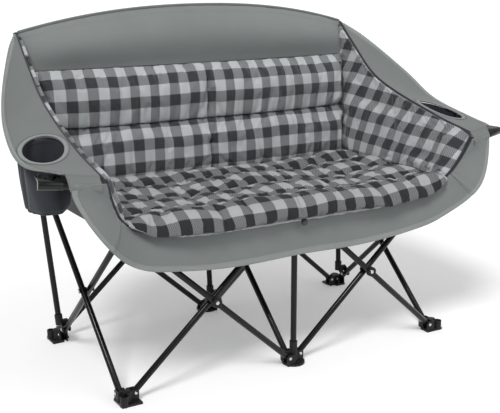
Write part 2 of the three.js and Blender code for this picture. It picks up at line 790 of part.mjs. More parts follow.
function cupPouch() {
  const wideBand = bandBetween(-pouchOverlapShare, 1 + pouchOverlapShare);
  const lid = sheet(raised(wideBand, -clothThickness - pouchSeamGap).reverse(), pouchDepth);
  const floor = -pouchDepth + pouchWall;
  const profile = [
    new THREE.Vector2(0, -pouchDepth),
    new THREE.Vector2(pouchBottomRadius, -pouchDepth),
    new THREE.Vector2(pouchTopRadius, 0),
    new THREE.Vector2(pouchTopRadius, pouchTopRadius),
    new THREE.Vector2(pouchTopRadius - pouchWall, pouchTopRadius),
    new THREE.Vector2(pouchTopRadius - pouchWall, 0),
    new THREE.Vector2(pouchBottomRadius - pouchWall, floor),
    new THREE.Vector2(0, floor),
  ];
  const lathe = new THREE.LatheGeometry(profile, castingSides);
  lathe.rotateX(Math.PI / 2);
  lathe.scale(1, pouchLengthShare, 1);
  lathe.rotateZ(mouthTurn);
  return cut(toSolid(lathe.translate(pouchMouth.x, pouchMouth.y, pouchMouth.z)), lid);
}

const mouthSides = castingSides * 2;
const mouthPlug = new THREE.CylinderGeometry(pouchMouthRadius, pouchMouthRadius, pouchDepth * 2, mouthSides);
mouthPlug.rotateX(Math.PI / 2);
mouthPlug.scale(1, mouthLengthShare, 1);
mouthPlug.rotateZ(mouthTurn);
const bandCut = toSolid(mouthPlug.translate(pouchMouth.x, pouchMouth.y, pouchMouth.z));
const armBand = cut(sheet(bandBetween(0, 1), clothThickness), bandCut);

for (const [side, hand] of [['left', mirrored], ['right', (solid) => solid]]) {
  piece(`${side}_arm_post`, hand(armTube), finish.steel);
  piece(`${side}_stem_clip`, hand(clipSolid), finish.plastic);
  piece(`${side}_cup_pouch`, hand(cupPouch()), finish.charcoal);
  piece(`${side}_wing_shell`, hand(wingShell), finish.grey);
  piece(`${side}_wing_pad`, hand(wingPad), finish.check);
  piece(`${side}_arm_band`, hand(armBand), finish.grey);
}

// Back panel, batten and back pad
const backColumns = 12;
const backRows = 6;
const backHalfWidthShares = { low: 1.0284, high: 1.0898 };
const panelFootYShare = 0.93;
const panelFootRise = 3;
const bulgeShare = 0.18;
const crownCurve = 2.2;

const topCorner = place(topCornerShares);
const panelFootHeight = slingLevel + panelFootRise;

const crownAt = (across) => (
  backCrownHeight - (backCrownHeight - topCorner.z) * Math.abs(across) ** crownCurve
);

// The panel's rear face at a share across (-1 to 1) and a share of its height
function backPoint(across, height, forward) {
  const postFace = tubeRadius + clothGap;
  const cornerY = topCorner.y - postFace;
  const crownY = crownYShare * halfDepth - postFace;
  const topY = crownY + (cornerY - crownY) * across * across;
  const halfWidth = bayPitch * (backHalfWidthShares.low
    + (backHalfWidthShares.high - backHalfWidthShares.low) * height);
  const footY = panelFootYShare * halfDepth;
  const bow = bulgeShare * (topY - footY) * Math.sin(Math.PI * height);
  const z = panelFootHeight + (crownAt(across) - panelFootHeight) * height;
  return vec(across * halfWidth, footY + (topY - footY) * height - bow - forward, z);
}

const backPanel = sheet(
  spread(backRows, (height) => spread(backColumns, (across) => (
    backPoint(across * 2 - 1, height, clothThickness)))),
  clothThickness,
);
piece('back_panel', backPanel, finish.grey);

const backPadTopShare = 0.774;
const backPadSideShare = 0.955;
const backPadChannels = 2;
const channelPinchShare = 0.62;
const backPadRows = 8;

function backPadThicknessAt(height) {
  const wave = Math.abs(Math.sin(Math.PI * backPadChannels * height));
  return backPadThickness * (1 - channelPinchShare + channelPinchShare * Math.sqrt(wave));
}

const backPadTop = hubHeight + backPadTopShare * backRise;
const backPadHeightAt = (across) => (backPadTop - panelFootHeight) / (crownAt(across) - panelFootHeight);
const backPad = sheet(
  spread(backPadRows, (height) => spread(backColumns, (across) => backPoint(
    (across * 2 - 1) * backPadSideShare,
    height * backPadHeightAt((across * 2 - 1) * backPadSideShare),
    clothThickness + clothGap * 2 + backPadThicknessAt(height),
  ))),
  (height) => backPadThicknessAt(height),
);
piece('back_pad', backPad, finish.check);

const battenLift = battenDiameter / 2 + clothGap;
class BattenPath extends THREE.Curve {
  getPoint(t) {
    const point = backPoint(t * 2 - 1, 1, clothThickness / 2);
    return point.add(vec(0, 0, battenLift));
  }
}
const battenSteps = 12;
const battenSides = 4;
const battenSection = new THREE.Shape();
battenSection.absarc(0, 0, battenDiameter / 2, 0, Math.PI * 2);
piece('top_batten', toSolid(new THREE.ExtrudeGeometry(battenSection, {
  steps: battenSteps, extrudePath: new BattenPath(), curveSegments: battenSides, bevelEnabled: false,
})), finish.rod);

// Seat sling between the top hubs, and the pad that lies on it and rolls over the front
const seatColumns = 12;
const slingHalfWidthShare = 1.03;
const slingRearYShare = 0.86;
const slingRows = 5;
const padHalfWidthShare = 1.03;
const frontNarrowShare = 0.085;
const frontNarrowCurve = 4;
const padRearYShare = 0.76;
// Where each row lies from the back edge to the front roll, and how far it is sewn down
const padRowShares = [[0, 0.3], [0.087, 0],
  [0.155, 0.25], [0.175, 0.55], [0.195, 0.25], [0.34, 0],
  [0.483, 0.25], [0.503, 0.55], [0.523, 0.25], [0.67, 0],
  [0.824, 0.25], [0.844, 0.55], [0.864, 0.25], [1, 0]];
const padRollRows = 3;

function sagAt(x, y) {
  const alongX = Math.sin(Math.PI * x / bayPitch);
  const alongY = Math.cos(Math.PI * y / frameDepth);
  return seatSag * alongX * alongX * Math.max(alongY, 0);
}

const lipY = -(frontFace + padLift + clothThickness + seatPadThickness);
const frontNarrowAt = (y) => frontNarrowShare * Math.max(y / lipY, 0) ** frontNarrowCurve;

const slingFrontY = -frontFace + clothThickness;
const sling = sheet(
  spread(slingRows, (along) => spread(seatColumns, (across) => {
    const y = slingFrontY + (slingRearYShare * halfDepth - slingFrontY) * along;
    const x = (across * 2 - 1) * slingHalfWidthShare * bayPitch * (1 - frontNarrowAt(y));
    return vec(x, y, slingLevel + clothThickness - sagAt(x, y));
  })),
  clothThickness,
);
piece('seat_sling', sling, finish.grey);

const lipDropCentreShare = 0.135;
const lipDropEdgeShare = 0.06;
const lipStartShare = 0.843;
const edgeThinShare = 0.5;
const edgeCurve = 4;

// How far a column is thinned towards the pad's side edges, from 0 to 1
const edgeShareAt = (x) => (Math.abs(x) / (padHalfWidthShare * bayPitch)) ** edgeCurve;

const padProfile = (x) => {
  const edge = edgeShareAt(x);
  const radius = seatRollRadius * (1 - edgeThinShare * edge);
  const centreY = lipY + radius;
  const top = seatTop - seatPadThickness * edgeThinShare * edge;
  const points = padRowShares.map(([share, dip]) => {
    const y = padRearYShare * halfDepth + (centreY - padRearYShare * halfDepth) * share;
    return vec(x * (1 - frontNarrowAt(y)), y, top - sagAt(x, y) - seatPadThickness * dip * (1 - edge));
  });
  const frontX = x * (1 - frontNarrowShare);
  for (let i = 1; i <= padRollRows; i += 1) {
    const angle = (Math.PI / 2) * (i / padRollRows);
    points.push(vec(
      frontX,
      centreY - radius * Math.sin(angle),
      top - sagAt(x, centreY) - radius * (1 - Math.cos(angle)),
    ));
  }
  const drop = lipDropCentreShare - (lipDropCentreShare - lipDropEdgeShare) * edge;
  points.push(vec(frontX, lipY, seatTop - backRise * drop));
  return points;
};

function padThicknessAt(across, along) {
  const edge = Math.abs(across * 2 - 1) ** edgeCurve;
  const lip = Math.max(0, (along - lipStartShare) / (1 - lipStartShare));
  const row = padRowShares[Math.round(along * (padRowShares.length + padRollRows))];
  const dip = row ? row[1] * (1 - edge) : 0;
  const full = seatPadThickness - (seatPadThickness - seatPadLipThickness) * lip;
  return full * (1 - edgeThinShare * edge) - seatPadThickness * dip;
}

const seatPad = sheet(
  spread(seatColumns, (across) => padProfile((across * 2 - 1) * padHalfWidthShare * bayPitch)),
  padThicknessAt,
);
piece('seat_pad', seatPad, finish.check);

const snapDropShare = 0.055;
const snapHeight = seatTop - seatRollRadius - snapDropShare * backRise;
piece('seat_snap', rod(
  vec(0, lipY - runningGap, snapHeight),
  vec(0, lipY - runningGap - snapThickness, snapHeight),
  snapRadius,
  castingSides,
), finish.steel);

// Front apron: one band from arm to arm that hangs below the padding's edge
const apronHalfColumns = 12;
const apronRows = 2;
const apronSide = spread(apronHalfColumns, (along) => spread(apronRows, (down) => (
  blendPoints(apronInner.getPoint(along), apronOuter.getPoint(along), down))));
const apronMirror = apronSide.slice(1).reverse().map((row) => row.map((p) => vec(-p.x, p.y, p.z)));
piece('front_apron', sheet([...apronMirror, ...apronSide], clothThickness), finish.grey);

// The origin lies on the floor under the middle of the whole box
const bounds = new THREE.Box3().setFromObject(loveseat);
loveseat.position.y = -(bounds.min.y + bounds.max.y) / 2;

export default loveseat;
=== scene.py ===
# %% [markdown]
# A folding camping loveseat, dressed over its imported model.
#
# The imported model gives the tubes, castings, pivots and plain soft solids at their real size.
# Every new piece is made in the same frame, in metres, rides on the body that carries it, and
# stands for the plain solid that it covers. The model is loaded first and never moved.

# %% Set-up
import json
import math

import bmesh
import bpy
import numpy as np
from mathutils import Matrix, Vector, noise
from mathutils.bvhtree import BVHTree


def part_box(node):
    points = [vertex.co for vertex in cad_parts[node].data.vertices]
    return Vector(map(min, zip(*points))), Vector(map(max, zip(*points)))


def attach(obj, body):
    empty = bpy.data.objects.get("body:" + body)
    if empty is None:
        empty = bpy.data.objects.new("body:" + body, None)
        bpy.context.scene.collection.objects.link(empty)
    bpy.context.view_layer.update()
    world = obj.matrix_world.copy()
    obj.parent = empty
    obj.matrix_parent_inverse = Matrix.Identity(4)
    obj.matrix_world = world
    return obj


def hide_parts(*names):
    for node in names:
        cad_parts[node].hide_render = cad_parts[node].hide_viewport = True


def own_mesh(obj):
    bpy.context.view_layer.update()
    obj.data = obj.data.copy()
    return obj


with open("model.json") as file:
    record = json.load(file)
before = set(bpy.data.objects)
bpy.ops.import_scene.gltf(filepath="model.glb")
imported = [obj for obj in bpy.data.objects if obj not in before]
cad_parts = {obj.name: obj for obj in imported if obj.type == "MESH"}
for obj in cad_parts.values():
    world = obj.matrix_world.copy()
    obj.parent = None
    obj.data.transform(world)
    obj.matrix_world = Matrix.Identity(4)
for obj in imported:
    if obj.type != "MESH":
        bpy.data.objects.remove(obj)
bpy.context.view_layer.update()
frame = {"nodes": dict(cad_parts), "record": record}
record = frame["record"]
BODY_OF = {node: body for body, nodes in record["behaviour"]["bodies"].items() for node in nodes}
print("nodes", len(frame["nodes"]))

# %% [markdown]
# The frame's driving sizes. Outlines are written as shares of the bay's pitch, of half the
# depth and of the rise from the hubs to the back's corners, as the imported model's are. Cloth
# that hangs past the front or rear row has a reach of its own. The wings' and the back's cloth
# is a little thicker than the bands' and the sling's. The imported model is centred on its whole
# box, so the rows lie a little off the middle: the front post says by how much.

# %% Sizes
PITCH = 0.480
HALF = 0.240
REACH = 0.240
FOOT_Z = 0.022
HUB_Z = 0.414
INSET = 0.022
PLANE = 0.009
BACK_RISE = 0.436
CROWN_Z = 0.912
TUBE_R = 0.008
WALL = 0.001
BORE = 0.03
CLOTH = 0.0024
BAND_CLOTH = 0.0022
RUN = PITCH - 2 * INSET
post_low, post_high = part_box("front_middle_post")
SHIFT = (post_low[1] + post_high[1]) / 2 + HALF
print("rows lie", round(SHIFT * 1000, 2), "mm off the middle")


def xyz(x, y, z):
    return np.array([x, y + SHIFT, z])


def place(share):
    """A point from its shares; past the rows, y goes on by the cloth's own reach."""
    x, y, z = share
    out = max(abs(y) - 1, 0)
    return xyz(x * PITCH, math.copysign(min(abs(y), 1) * HALF + out * REACH, y), HUB_Z + z * BACK_RISE)


def unit(v):
    return v / max(np.linalg.norm(v), 1e-12)


# %% [markdown]
# Cloth is easiest to keep true to its seams when it is a grid of points between two curves, so
# sheets and pads are made in mesh code. A seam is a spline through a few points, which can be
# walked by its length or from point to point.

# %% Curves
def spline(points, t):
    """A centripetal Catmull-Rom curve through points, at t from 0 to 1 over its spans."""
    last = len(points) - 1
    i = min(int(last * t), last - 1)
    w = last * t - i
    p1, p2 = points[i], points[i + 1]
    p0 = points[i - 1] if i > 0 else 2 * p1 - p2
    p3 = points[i + 2] if i + 2 <= last else 2 * p2 - p1
    d0, d1, d2 = (np.linalg.norm(b - a) ** 0.5 for a, b in ((p0, p1), (p1, p2), (p2, p3)))
    m1 = ((p1 - p0) / d0 - (p2 - p0) / (d0 + d1) + (p2 - p1) / d1) * d1
    m2 = ((p2 - p1) / d1 - (p3 - p1) / (d1 + d2) + (p3 - p2) / d2) * d1
    return p1 + m1 * w + (-3 * p1 + 3 * p2 - 2 * m1 - m2) * w**2 + (2 * p1 - 2 * p2 + m1 + m2) * w**3


def walked_along(points):
    """The way walked along a path at each of its points, in metres."""
    return np.concatenate([[0], np.cumsum(np.linalg.norm(np.diff(points, axis=0), axis=1))])


class Path:
    """A spline that can be walked by length or from knot to knot."""

    def __init__(self, shares, fine=240):
        self.knots = np.array([place(s) for s in shares])
        self.points = np.array([spline(self.knots, k / fine) for k in range(fine + 1)])
        self.walked = walked_along(self.points)

    def by_knot(self, t):
        return spline(self.knots, min(max(t, 0), 1))

    def by_length(self, t):
        return np.array([np.interp(t * self.walked[-1], self.walked, self.points[:, k]) for k in range(3)])


# %% [markdown]
# A sheet of cloth becomes a closed body of two grids, its face and its back, joined all round
# their rims. Solidify would do that too, but here hems and ripples differ between the two
# sides, and the map that the weave follows is written on both at once.

# %% Closed meshes from grids
def normals_of(grid):
    n = np.cross(np.gradient(grid, axis=1), np.gradient(grid, axis=0))
    return n / np.maximum(np.linalg.norm(n, axis=2, keepdims=True), 1e-12)


def new_object(name, verts, faces, mats, marks=None):
    mesh = bpy.data.meshes.new(name)
    mesh.from_pydata([tuple(map(float, v)) for v in verts], [], [tuple(map(int, f)) for f in faces])
    for m in mats:
        mesh.materials.append(m)
    if marks is not None:
        mesh.polygons.foreach_set("material_index", np.asarray(marks, np.int32))
    mesh.polygons.foreach_set("use_smooth", [True] * len(mesh.polygons))
    mesh.update()
    obj = bpy.data.objects.new(name, mesh)
    bpy.context.scene.collection.objects.link(obj)
    return obj


def put_uv(obj, per_vertex):
    """The cloth's own map, in metres along it, which the weave and the check follow."""
    layer = obj.data.uv_layers.new(name="cloth")
    loops = np.empty(len(obj.data.loops), np.int32)
    obj.data.loops.foreach_get("vertex_index", loops)
    layer.data.foreach_set("uv", np.asarray(per_vertex, float)[loops].ravel())


def grid_faces(rows, cols, start=0, flip=False):
    at = np.arange(rows * cols).reshape(rows, cols) + start
    quads = np.stack([at[:-1, :-1], at[:-1, 1:], at[1:, 1:], at[1:, :-1]], axis=2).reshape(-1, 4)
    return quads[:, ::-1] if flip else quads


def closed_sheet(name, face, back, uv, mats, marks=None):
    """A closed body from the rows of its face and of its back; marks picks a material per face quad."""
    rows, cols = face.shape[:2]
    n = rows * cols
    at = np.arange(n).reshape(rows, cols)
    ring = np.concatenate([at[0, :], at[1:, -1], at[-1, -2::-1], at[-2:0:-1, 0]])
    after = np.roll(ring, -1)
    edge = np.stack([after, ring, ring + n, after + n], axis=1)
    faces = np.concatenate([grid_faces(rows, cols), grid_faces(rows, cols, n, True), edge])
    quads = (rows - 1) * (cols - 1)
    slots = np.zeros(quads, int) if marks is None else np.asarray(marks, int).ravel()
    slots = np.concatenate([slots, slots, np.zeros(len(ring), int)])
    obj = new_object(name, np.concatenate([face.reshape(-1, 3), back.reshape(-1, 3)]), faces, mats, slots)
    put_uv(obj, np.concatenate([uv.reshape(-1, 2), uv.reshape(-1, 2)]))
    return obj


# %% Measuring, mirroring and cleaning grids
def uv_grid(grid):
    """Metres along the cloth, measured from the first row and the middle column."""
    over = np.cumsum(np.linalg.norm(np.diff(grid, axis=1), axis=2), axis=1)
    down = np.cumsum(np.linalg.norm(np.diff(grid, axis=0), axis=2), axis=0)
    u = np.pad(over, ((0, 0), (1, 0)))
    u = u - u[:, grid.shape[1] // 2][:, None]
    return np.stack([u, np.pad(down, ((1, 0), (0, 0)))], axis=2)


def side_of(grid, sign):
    """The grid for one side: the right one as it is, the left one mirrored and still facing its own way."""
    return grid if sign > 0 else (grid * [-1, 1, 1])[:, ::-1]


def side_uv(uv, sign):
    return uv if sign > 0 else (uv * [-1, 1])[:, ::-1]


def cleaned(obj):
    """Merges points that meet, drops faces with no area and turns every face outwards."""
    shape = bmesh.new()
    shape.from_mesh(obj.data)
    bmesh.ops.remove_doubles(shape, verts=shape.verts, dist=0.00006)
    bmesh.ops.dissolve_degenerate(shape, edges=shape.edges, dist=0.00002)
    bmesh.ops.recalc_face_normals(shape, faces=shape.faces)
    shape.to_mesh(obj.data)
    shape.free()
    return obj


# %% [markdown]
# Piping, bindings, rolled edges and thread are all ropes: rings of points set round a path, with
# their faces in between. A curve object with a bevel would give the same, but not a map along
# the rope for its weave, nor a section that swells and thins.

# %% Ropes: piping, bindings and rolled edges
ROPE_SIDES = 12


def rope(points, radius, sides=ROPE_SIDES, closed=False, ups=None, flat=1.0, sizes=None):
    """Rings round a path; with ups the section is flattened along them, and sizes swells it."""
    pts = np.asarray(points, float)
    n = len(pts)
    ahead = np.roll(pts, -1, 0) - np.roll(pts, 1, 0) if closed else np.gradient(pts, axis=0)
    ahead = ahead / np.linalg.norm(ahead, axis=1, keepdims=True)
    up = unit(np.cross(ahead[0], [0.31, 0.17, 0.93] if abs(ahead[0][2]) < 0.9 else [1, 0, 0]))
    ups = None if ups is None else np.broadcast_to(np.asarray(ups, float), pts.shape)
    turn = np.arange(sides) * 2 * math.pi / sides
    rings = []
    for i, t in enumerate(ahead):
        up = unit((up if ups is None else ups[i]) - t * np.dot(up if ups is None else ups[i], t))
        out = np.cross(t, up)
        r = radius * (1 if sizes is None else sizes[i])
        rings.append(pts[i] + r * (np.cos(turn)[:, None] * out + flat * np.sin(turn)[:, None] * up))
    loop = np.arange(n * sides).reshape(n, sides)
    nxt = np.roll(loop, -1, 0) if closed else loop[1:]
    here = loop if closed else loop[:-1]
    faces = np.stack([here, np.roll(here, -1, 1), np.roll(nxt, -1, 1), nxt], axis=2).reshape(-1, 4).tolist()
    if not closed:
        faces += [loop[0, ::-1].tolist(), loop[-1].tolist()]
    return np.concatenate(rings), faces


def rope_uv(points, radius, sides=ROPE_SIDES):
    """The map of a rope's rings: metres along it and metres round it."""
    steps = walked_along(np.asarray(points))
    around = np.arange(sides) * 2 * math.pi * radius / sides
    return [(s, a) for s in steps for a in around]


def merged(name, parts, material):
    """One object from several ropes."""
    verts, faces, start = [], [], 0
    for v, f in parts:
        verts.append(v)
        faces += [tuple(i + start for i in face) for face in f]
        start += len(v)
    return new_object(name, np.concatenate(verts), faces, [material])


def stitches(path, lift, length=0.0042, gap=0.0026, radius=0.00045):
    """Thread along a path: short rounded dashes, lifted off the cloth."""
    pts = np.asarray(path, float)
    walked = walked_along(pts)
    lifts = np.broadcast_to(np.asarray(lift, float), pts.shape)
    parts = []
    start = gap
    while start + length < walked[-1]:
        spots = [start, start + length / 2, start + length]
        a, m, b = (np.array([np.interp(s, walked, pts[:, k]) for k in range(3)]) for s in spots)
        n = unit(np.array([np.interp(spots[1], walked, lifts[:, k]) for k in range(3)]))
        line = [a - n * radius * 0.6, m + n * radius * 0.9, b - n * radius * 0.6]
        parts.append(rope(line, radius, sides=5, sizes=[0.55, 1, 0.55]))
        start += length + gap
    return parts


def sewn(name, lines, lift, material):
    """One object from the stitches along several lines."""
    return merged(name, [s for line in lines for s in stitches(line, lift)], material)


# %% [markdown]
# Cloth is never quite flat. Slow ripples come from smooth noise. Puckers are the small folds
# that thread pulls in beside a seam: they run square to it and die away within a few
# centimetres. Creases are the sharp valleys left where cloth has been folded and sat on.

# %% Ripples, puckers and creases
def ripple(p, size, scale, octaves=3, seed=0.0):
    total, amp, norm = 0.0, 1.0, 0.0
    for k in range(octaves):
        f = scale * 2**k
        total += amp * noise.noise(Vector((p[0] * f + seed, p[1] * f - seed, p[2] * f + seed * 0.5)))
        norm += amp
        amp *= 0.5
    return size * total / norm


def rippled(grid, size, scale, octaves=3, seed=0.0):
    return np.array([[ripple(p, size, scale, octaves, seed) for p in row] for row in grid])


def pucker(along, away, size, wave, reach, seed):
    """Folds square to a seam, from each point's way along the seam and away from it."""
    fold = [[noise.noise(Vector((s / wave, seed, d / (reach * 3)))) for s, d in zip(row, off)]
            for row, off in zip(along, away)]
    return size * np.array(fold) * np.exp(-((away / reach) ** 2))


def creased(grid, size, scale, stretch, seed):
    """Narrow valleys that wander over the cloth; stretch draws them out along an axis."""
    s = np.asarray(stretch, float)
    n = np.array([[noise.noise(Vector(p * s * scale + seed)) for p in row] for row in grid])
    return -size * np.clip(1 - np.abs(n) * 4.5, 0, 1) ** 2


def near(x, centre, width):
    """1 at the centre, falling away smoothly on both sides."""
    return np.exp(-(((x - centre) / width) ** 2))


def puffs(x, seams, soft):
    """0 on a seam and 1 well away from all of them."""
    d = np.min(np.abs(np.asarray(x)[..., None] - np.asarray(seams)), axis=-1)
    return np.sqrt(1 - (1 - np.clip(d / soft, 0, 1)) ** 2)


# %% [markdown]
# Finishes. The cloth is a plain weave of thick threads. The pads are printed with a grey
# buffalo check: two sets of equal stripes, whose crossings are light, dark or, where they
# differ, a mix that shows as a fine diagonal twill. Both effects are node groups, built once
# and placed in each cloth with its own values. Hard parts are black powder coat, moulded
# plastic and bright rivets, with grain, uneven gloss and a few fine scratches.

# %% Node helpers
def socket(group, name, kind, into, default=None):
    s = group.interface.new_socket(name=name, in_out="INPUT" if into else "OUTPUT", socket_type=kind)
    if default is not None:
        s.default_value = default


class Nodes:
    """A short way to add nodes and join them up."""

    def __init__(self, tree):
        self.tree = tree

    def add(self, kind, **values):
        node = self.tree.nodes.new(kind)
        inputs = values.pop("inputs", {})
        for k, v in values.items():
            setattr(node, k, v)
        for k, v in inputs.items():
            if isinstance(v, bpy.types.NodeSocket):
                self.tree.links.new(v, node.inputs[k])
            else:
                node.inputs[k].default_value = v
        return node

    def math(self, op, a, b=0.0, c=None, clamp=False):
        inputs = {0: a, 1: b} if c is None else {0: a, 1: b, 2: c}
        return self.add("ShaderNodeMath", operation=op, use_clamp=clamp, inputs=inputs).outputs[0]

    def noise(self, where, scale, detail=2.0):
        inputs = {"Vector": where, "Scale": scale, "Detail": detail}
        return self.add("ShaderNodeTexNoise", inputs=inputs).outputs[0]

    def mix(self, factor, a, b, mode="MIX"):
        node = self.add("ShaderNodeMix", data_type="RGBA", blend_type=mode, inputs={0: factor})
        for k, v in ((6, a), (7, b)):
            if isinstance(v, bpy.types.NodeSocket):
                self.tree.links.new(v, node.inputs[k])
            else:
                node.inputs[k].default_value = (*v, 1) if len(v) == 3 else v
        return node.outputs[2]

    def link(self, a, b):
        self.tree.links.new(a, b)


# %% Weave group
def weave_group():
    """Threads that pass over and under each other, as a height, and a slow change of tone along each."""
    g = bpy.data.node_groups.new("weave", "ShaderNodeTree")
    socket(g, "UV", "NodeSocketVector", True)
    socket(g, "Thread", "NodeSocketFloat", True, 0.0009)
    socket(g, "Height", "NodeSocketFloat", False)
    socket(g, "Tone", "NodeSocketFloat", False)
    n = Nodes(g)
    gi, go = n.add("NodeGroupInput"), n.add("NodeGroupOutput")
    sep = n.add("ShaderNodeSeparateXYZ", inputs={0: gi.outputs["UV"]})
    u = n.math("DIVIDE", sep.outputs[0], gi.outputs["Thread"])
    v = n.math("DIVIDE", sep.outputs[1], gi.outputs["Thread"])
    over = n.math("MULTIPLY", n.math("SINE", n.math("MULTIPLY", u, math.pi)),
                  n.math("SINE", n.math("MULTIPLY", v, math.pi)))
    n.link(n.math("MULTIPLY_ADD", over, 0.5, 0.5), go.inputs["Height"])
    along_u = n.add("ShaderNodeCombineXYZ", inputs={0: n.math("MULTIPLY", u, 0.02), 1: n.math("FLOOR", v)})
    along_v = n.add("ShaderNodeCombineXYZ", inputs={0: n.math("FLOOR", u), 1: n.math("MULTIPLY", v, 0.02)})
    both = n.math("ADD", n.noise(along_u.outputs[0], 0.8, 1.0), n.noise(along_v.outputs[0], 0.8, 1.0))
    n.link(n.math("MULTIPLY", both, 0.5), go.inputs["Tone"])
    return g


# %% Check group
TWILL_LOW = 0.51
TWILL_SPAN = 0.24


def check_group():
    """The grey check: two crossing sets of stripes, with a diagonal twill where they are mixed."""
    g = bpy.data.node_groups.new("check", "ShaderNodeTree")
    socket(g, "UV", "NodeSocketVector", True)
    socket(g, "Square", "NodeSocketFloat", True, 0.03)
    socket(g, "Twill", "NodeSocketFloat", True, 0.0055)
    socket(g, "Light", "NodeSocketColor", True, (0.455, 0.475, 0.485, 1))
    socket(g, "Dark", "NodeSocketColor", True, (0.036, 0.039, 0.043, 1))
    socket(g, "Color", "NodeSocketColor", False)
    n = Nodes(g)
    gi, go = n.add("NodeGroupInput"), n.add("NodeGroupOutput")
    drift = n.add("ShaderNodeTexNoise", inputs={"Vector": gi.outputs["UV"], "Scale": 9.0, "Detail": 2.0})
    shifted = n.add("ShaderNodeVectorMath", operation="MULTIPLY_ADD",
                    inputs={0: drift.outputs["Color"], 1: (0.006, 0.006, 0.0), 2: gi.outputs["UV"]})
    sep = n.add("ShaderNodeSeparateXYZ", inputs={0: shifted.outputs[0]})
    bands = []
    for k in (0, 1):
        wave = n.math("PINGPONG", n.math("DIVIDE", sep.outputs[k], gi.outputs["Square"]), 1.0)
        soft = n.add("ShaderNodeMapRange", interpolation_type="SMOOTHSTEP",
                     inputs={0: wave, 1: 0.475, 2: 0.525, 3: 0.0, 4: 1.0})
        bands.append(soft.outputs[0])
    slant = n.math("DIVIDE", n.math("ADD", sep.outputs[0], sep.outputs[1]), gi.outputs["Twill"])
    twill = n.add("ShaderNodeMapRange", interpolation_type="SMOOTHSTEP",
                  inputs={0: n.math("PINGPONG", slant, 0.5), 1: 0.14, 2: 0.36, 3: 0.0, 4: 1.0})
    both = n.math("MULTIPLY", bands[0], bands[1])
    mixed = n.math("SUBTRACT", n.math("MAXIMUM", bands[0], bands[1]), both)
    hatch = n.math("MULTIPLY_ADD", twill.outputs[0], TWILL_SPAN, TWILL_LOW)
    amount = n.math("ADD", both, n.math("MULTIPLY", mixed, hatch), clamp=True)
    n.link(n.mix(amount, gi.outputs["Light"], gi.outputs["Dark"]), go.inputs["Color"])
    return g


WEAVE = weave_group()
CHECKS = check_group()
print("groups of", len(WEAVE.nodes), "and", len(CHECKS.nodes), "nodes")

# %% [markdown]
# Two functions make all the finishes. A cloth has its weave as a fine bump and a slow change of
# tone, because no cloth is dyed or lit quite evenly. A hard finish has grain, gloss that varies
# and scratches that run along the tube. The upper back, the arms and the front are one grey cloth
# in three slightly different tones: the upper back's lighter tone is painted light and the arms'
# darker tone is painted shade. The seat's check is painted darker than the other pads' check, as
# painted shade.

# %% Cloth
DIRT = 0.08


def blank(name):
    m = bpy.data.materials.new(name)
    m.use_nodes = True
    m.node_tree.nodes.clear()
    n = Nodes(m.node_tree)
    out = n.add("ShaderNodeOutputMaterial")
    shader = n.add("ShaderNodeBsdfPrincipled")
    n.link(shader.outputs[0], out.inputs[0])
    return m, n, shader


def cloth(name, colour=None, thread=0.0009, bump=0.35, rough=0.88, sheen=0.25, check=None):
    """Woven cloth of one colour, or of the check where no colour is given."""
    m, n, shader = blank(name)
    uv = n.add("ShaderNodeUVMap", uv_map="cloth").outputs[0]
    where = n.add("ShaderNodeTexCoord").outputs["Object"]
    weave = n.add("ShaderNodeGroup", node_tree=WEAVE, inputs={"UV": uv, "Thread": thread})
    base = colour
    if colour is None:
        base = n.add("ShaderNodeGroup", node_tree=CHECKS, inputs={"UV": uv, **(check or {})}).outputs[0]
    slow = n.noise(where, 7.0, 3.0)
    tone = n.math("MULTIPLY_ADD", weave.outputs["Tone"], 0.22, 0.89)
    drift = n.math("MULTIPLY_ADD", slow, DIRT * 2, 1 - DIRT)
    both = n.math("MULTIPLY", tone, drift)
    shade = n.add("ShaderNodeCombineXYZ", inputs={0: both, 1: both, 2: both}).outputs[0]
    n.link(n.mix(1.0, base, shade, "MULTIPLY"), shader.inputs["Base Color"])
    height = n.math("ADD", n.math("MULTIPLY", weave.outputs["Height"], 0.7),
                    n.math("MULTIPLY", n.noise(where, 190.0), 0.5))
    fine = n.add("ShaderNodeBump", inputs={"Strength": bump, "Distance": 0.0004, "Height": height})
    soft = n.add("ShaderNodeBump", inputs={"Strength": 0.25, "Distance": 0.0025, "Height": slow,
                                           "Normal": fine.outputs[0]})
    n.link(soft.outputs[0], shader.inputs["Normal"])
    n.link(n.math("MULTIPLY_ADD", weave.outputs["Height"], 0.1, rough - 0.05), shader.inputs["Roughness"])
    shader.inputs["Sheen Weight"].default_value = sheen
    shader.inputs["Sheen Roughness"].default_value = 0.5
    shader.inputs["Specular IOR Level"].default_value = 0.25
    return m


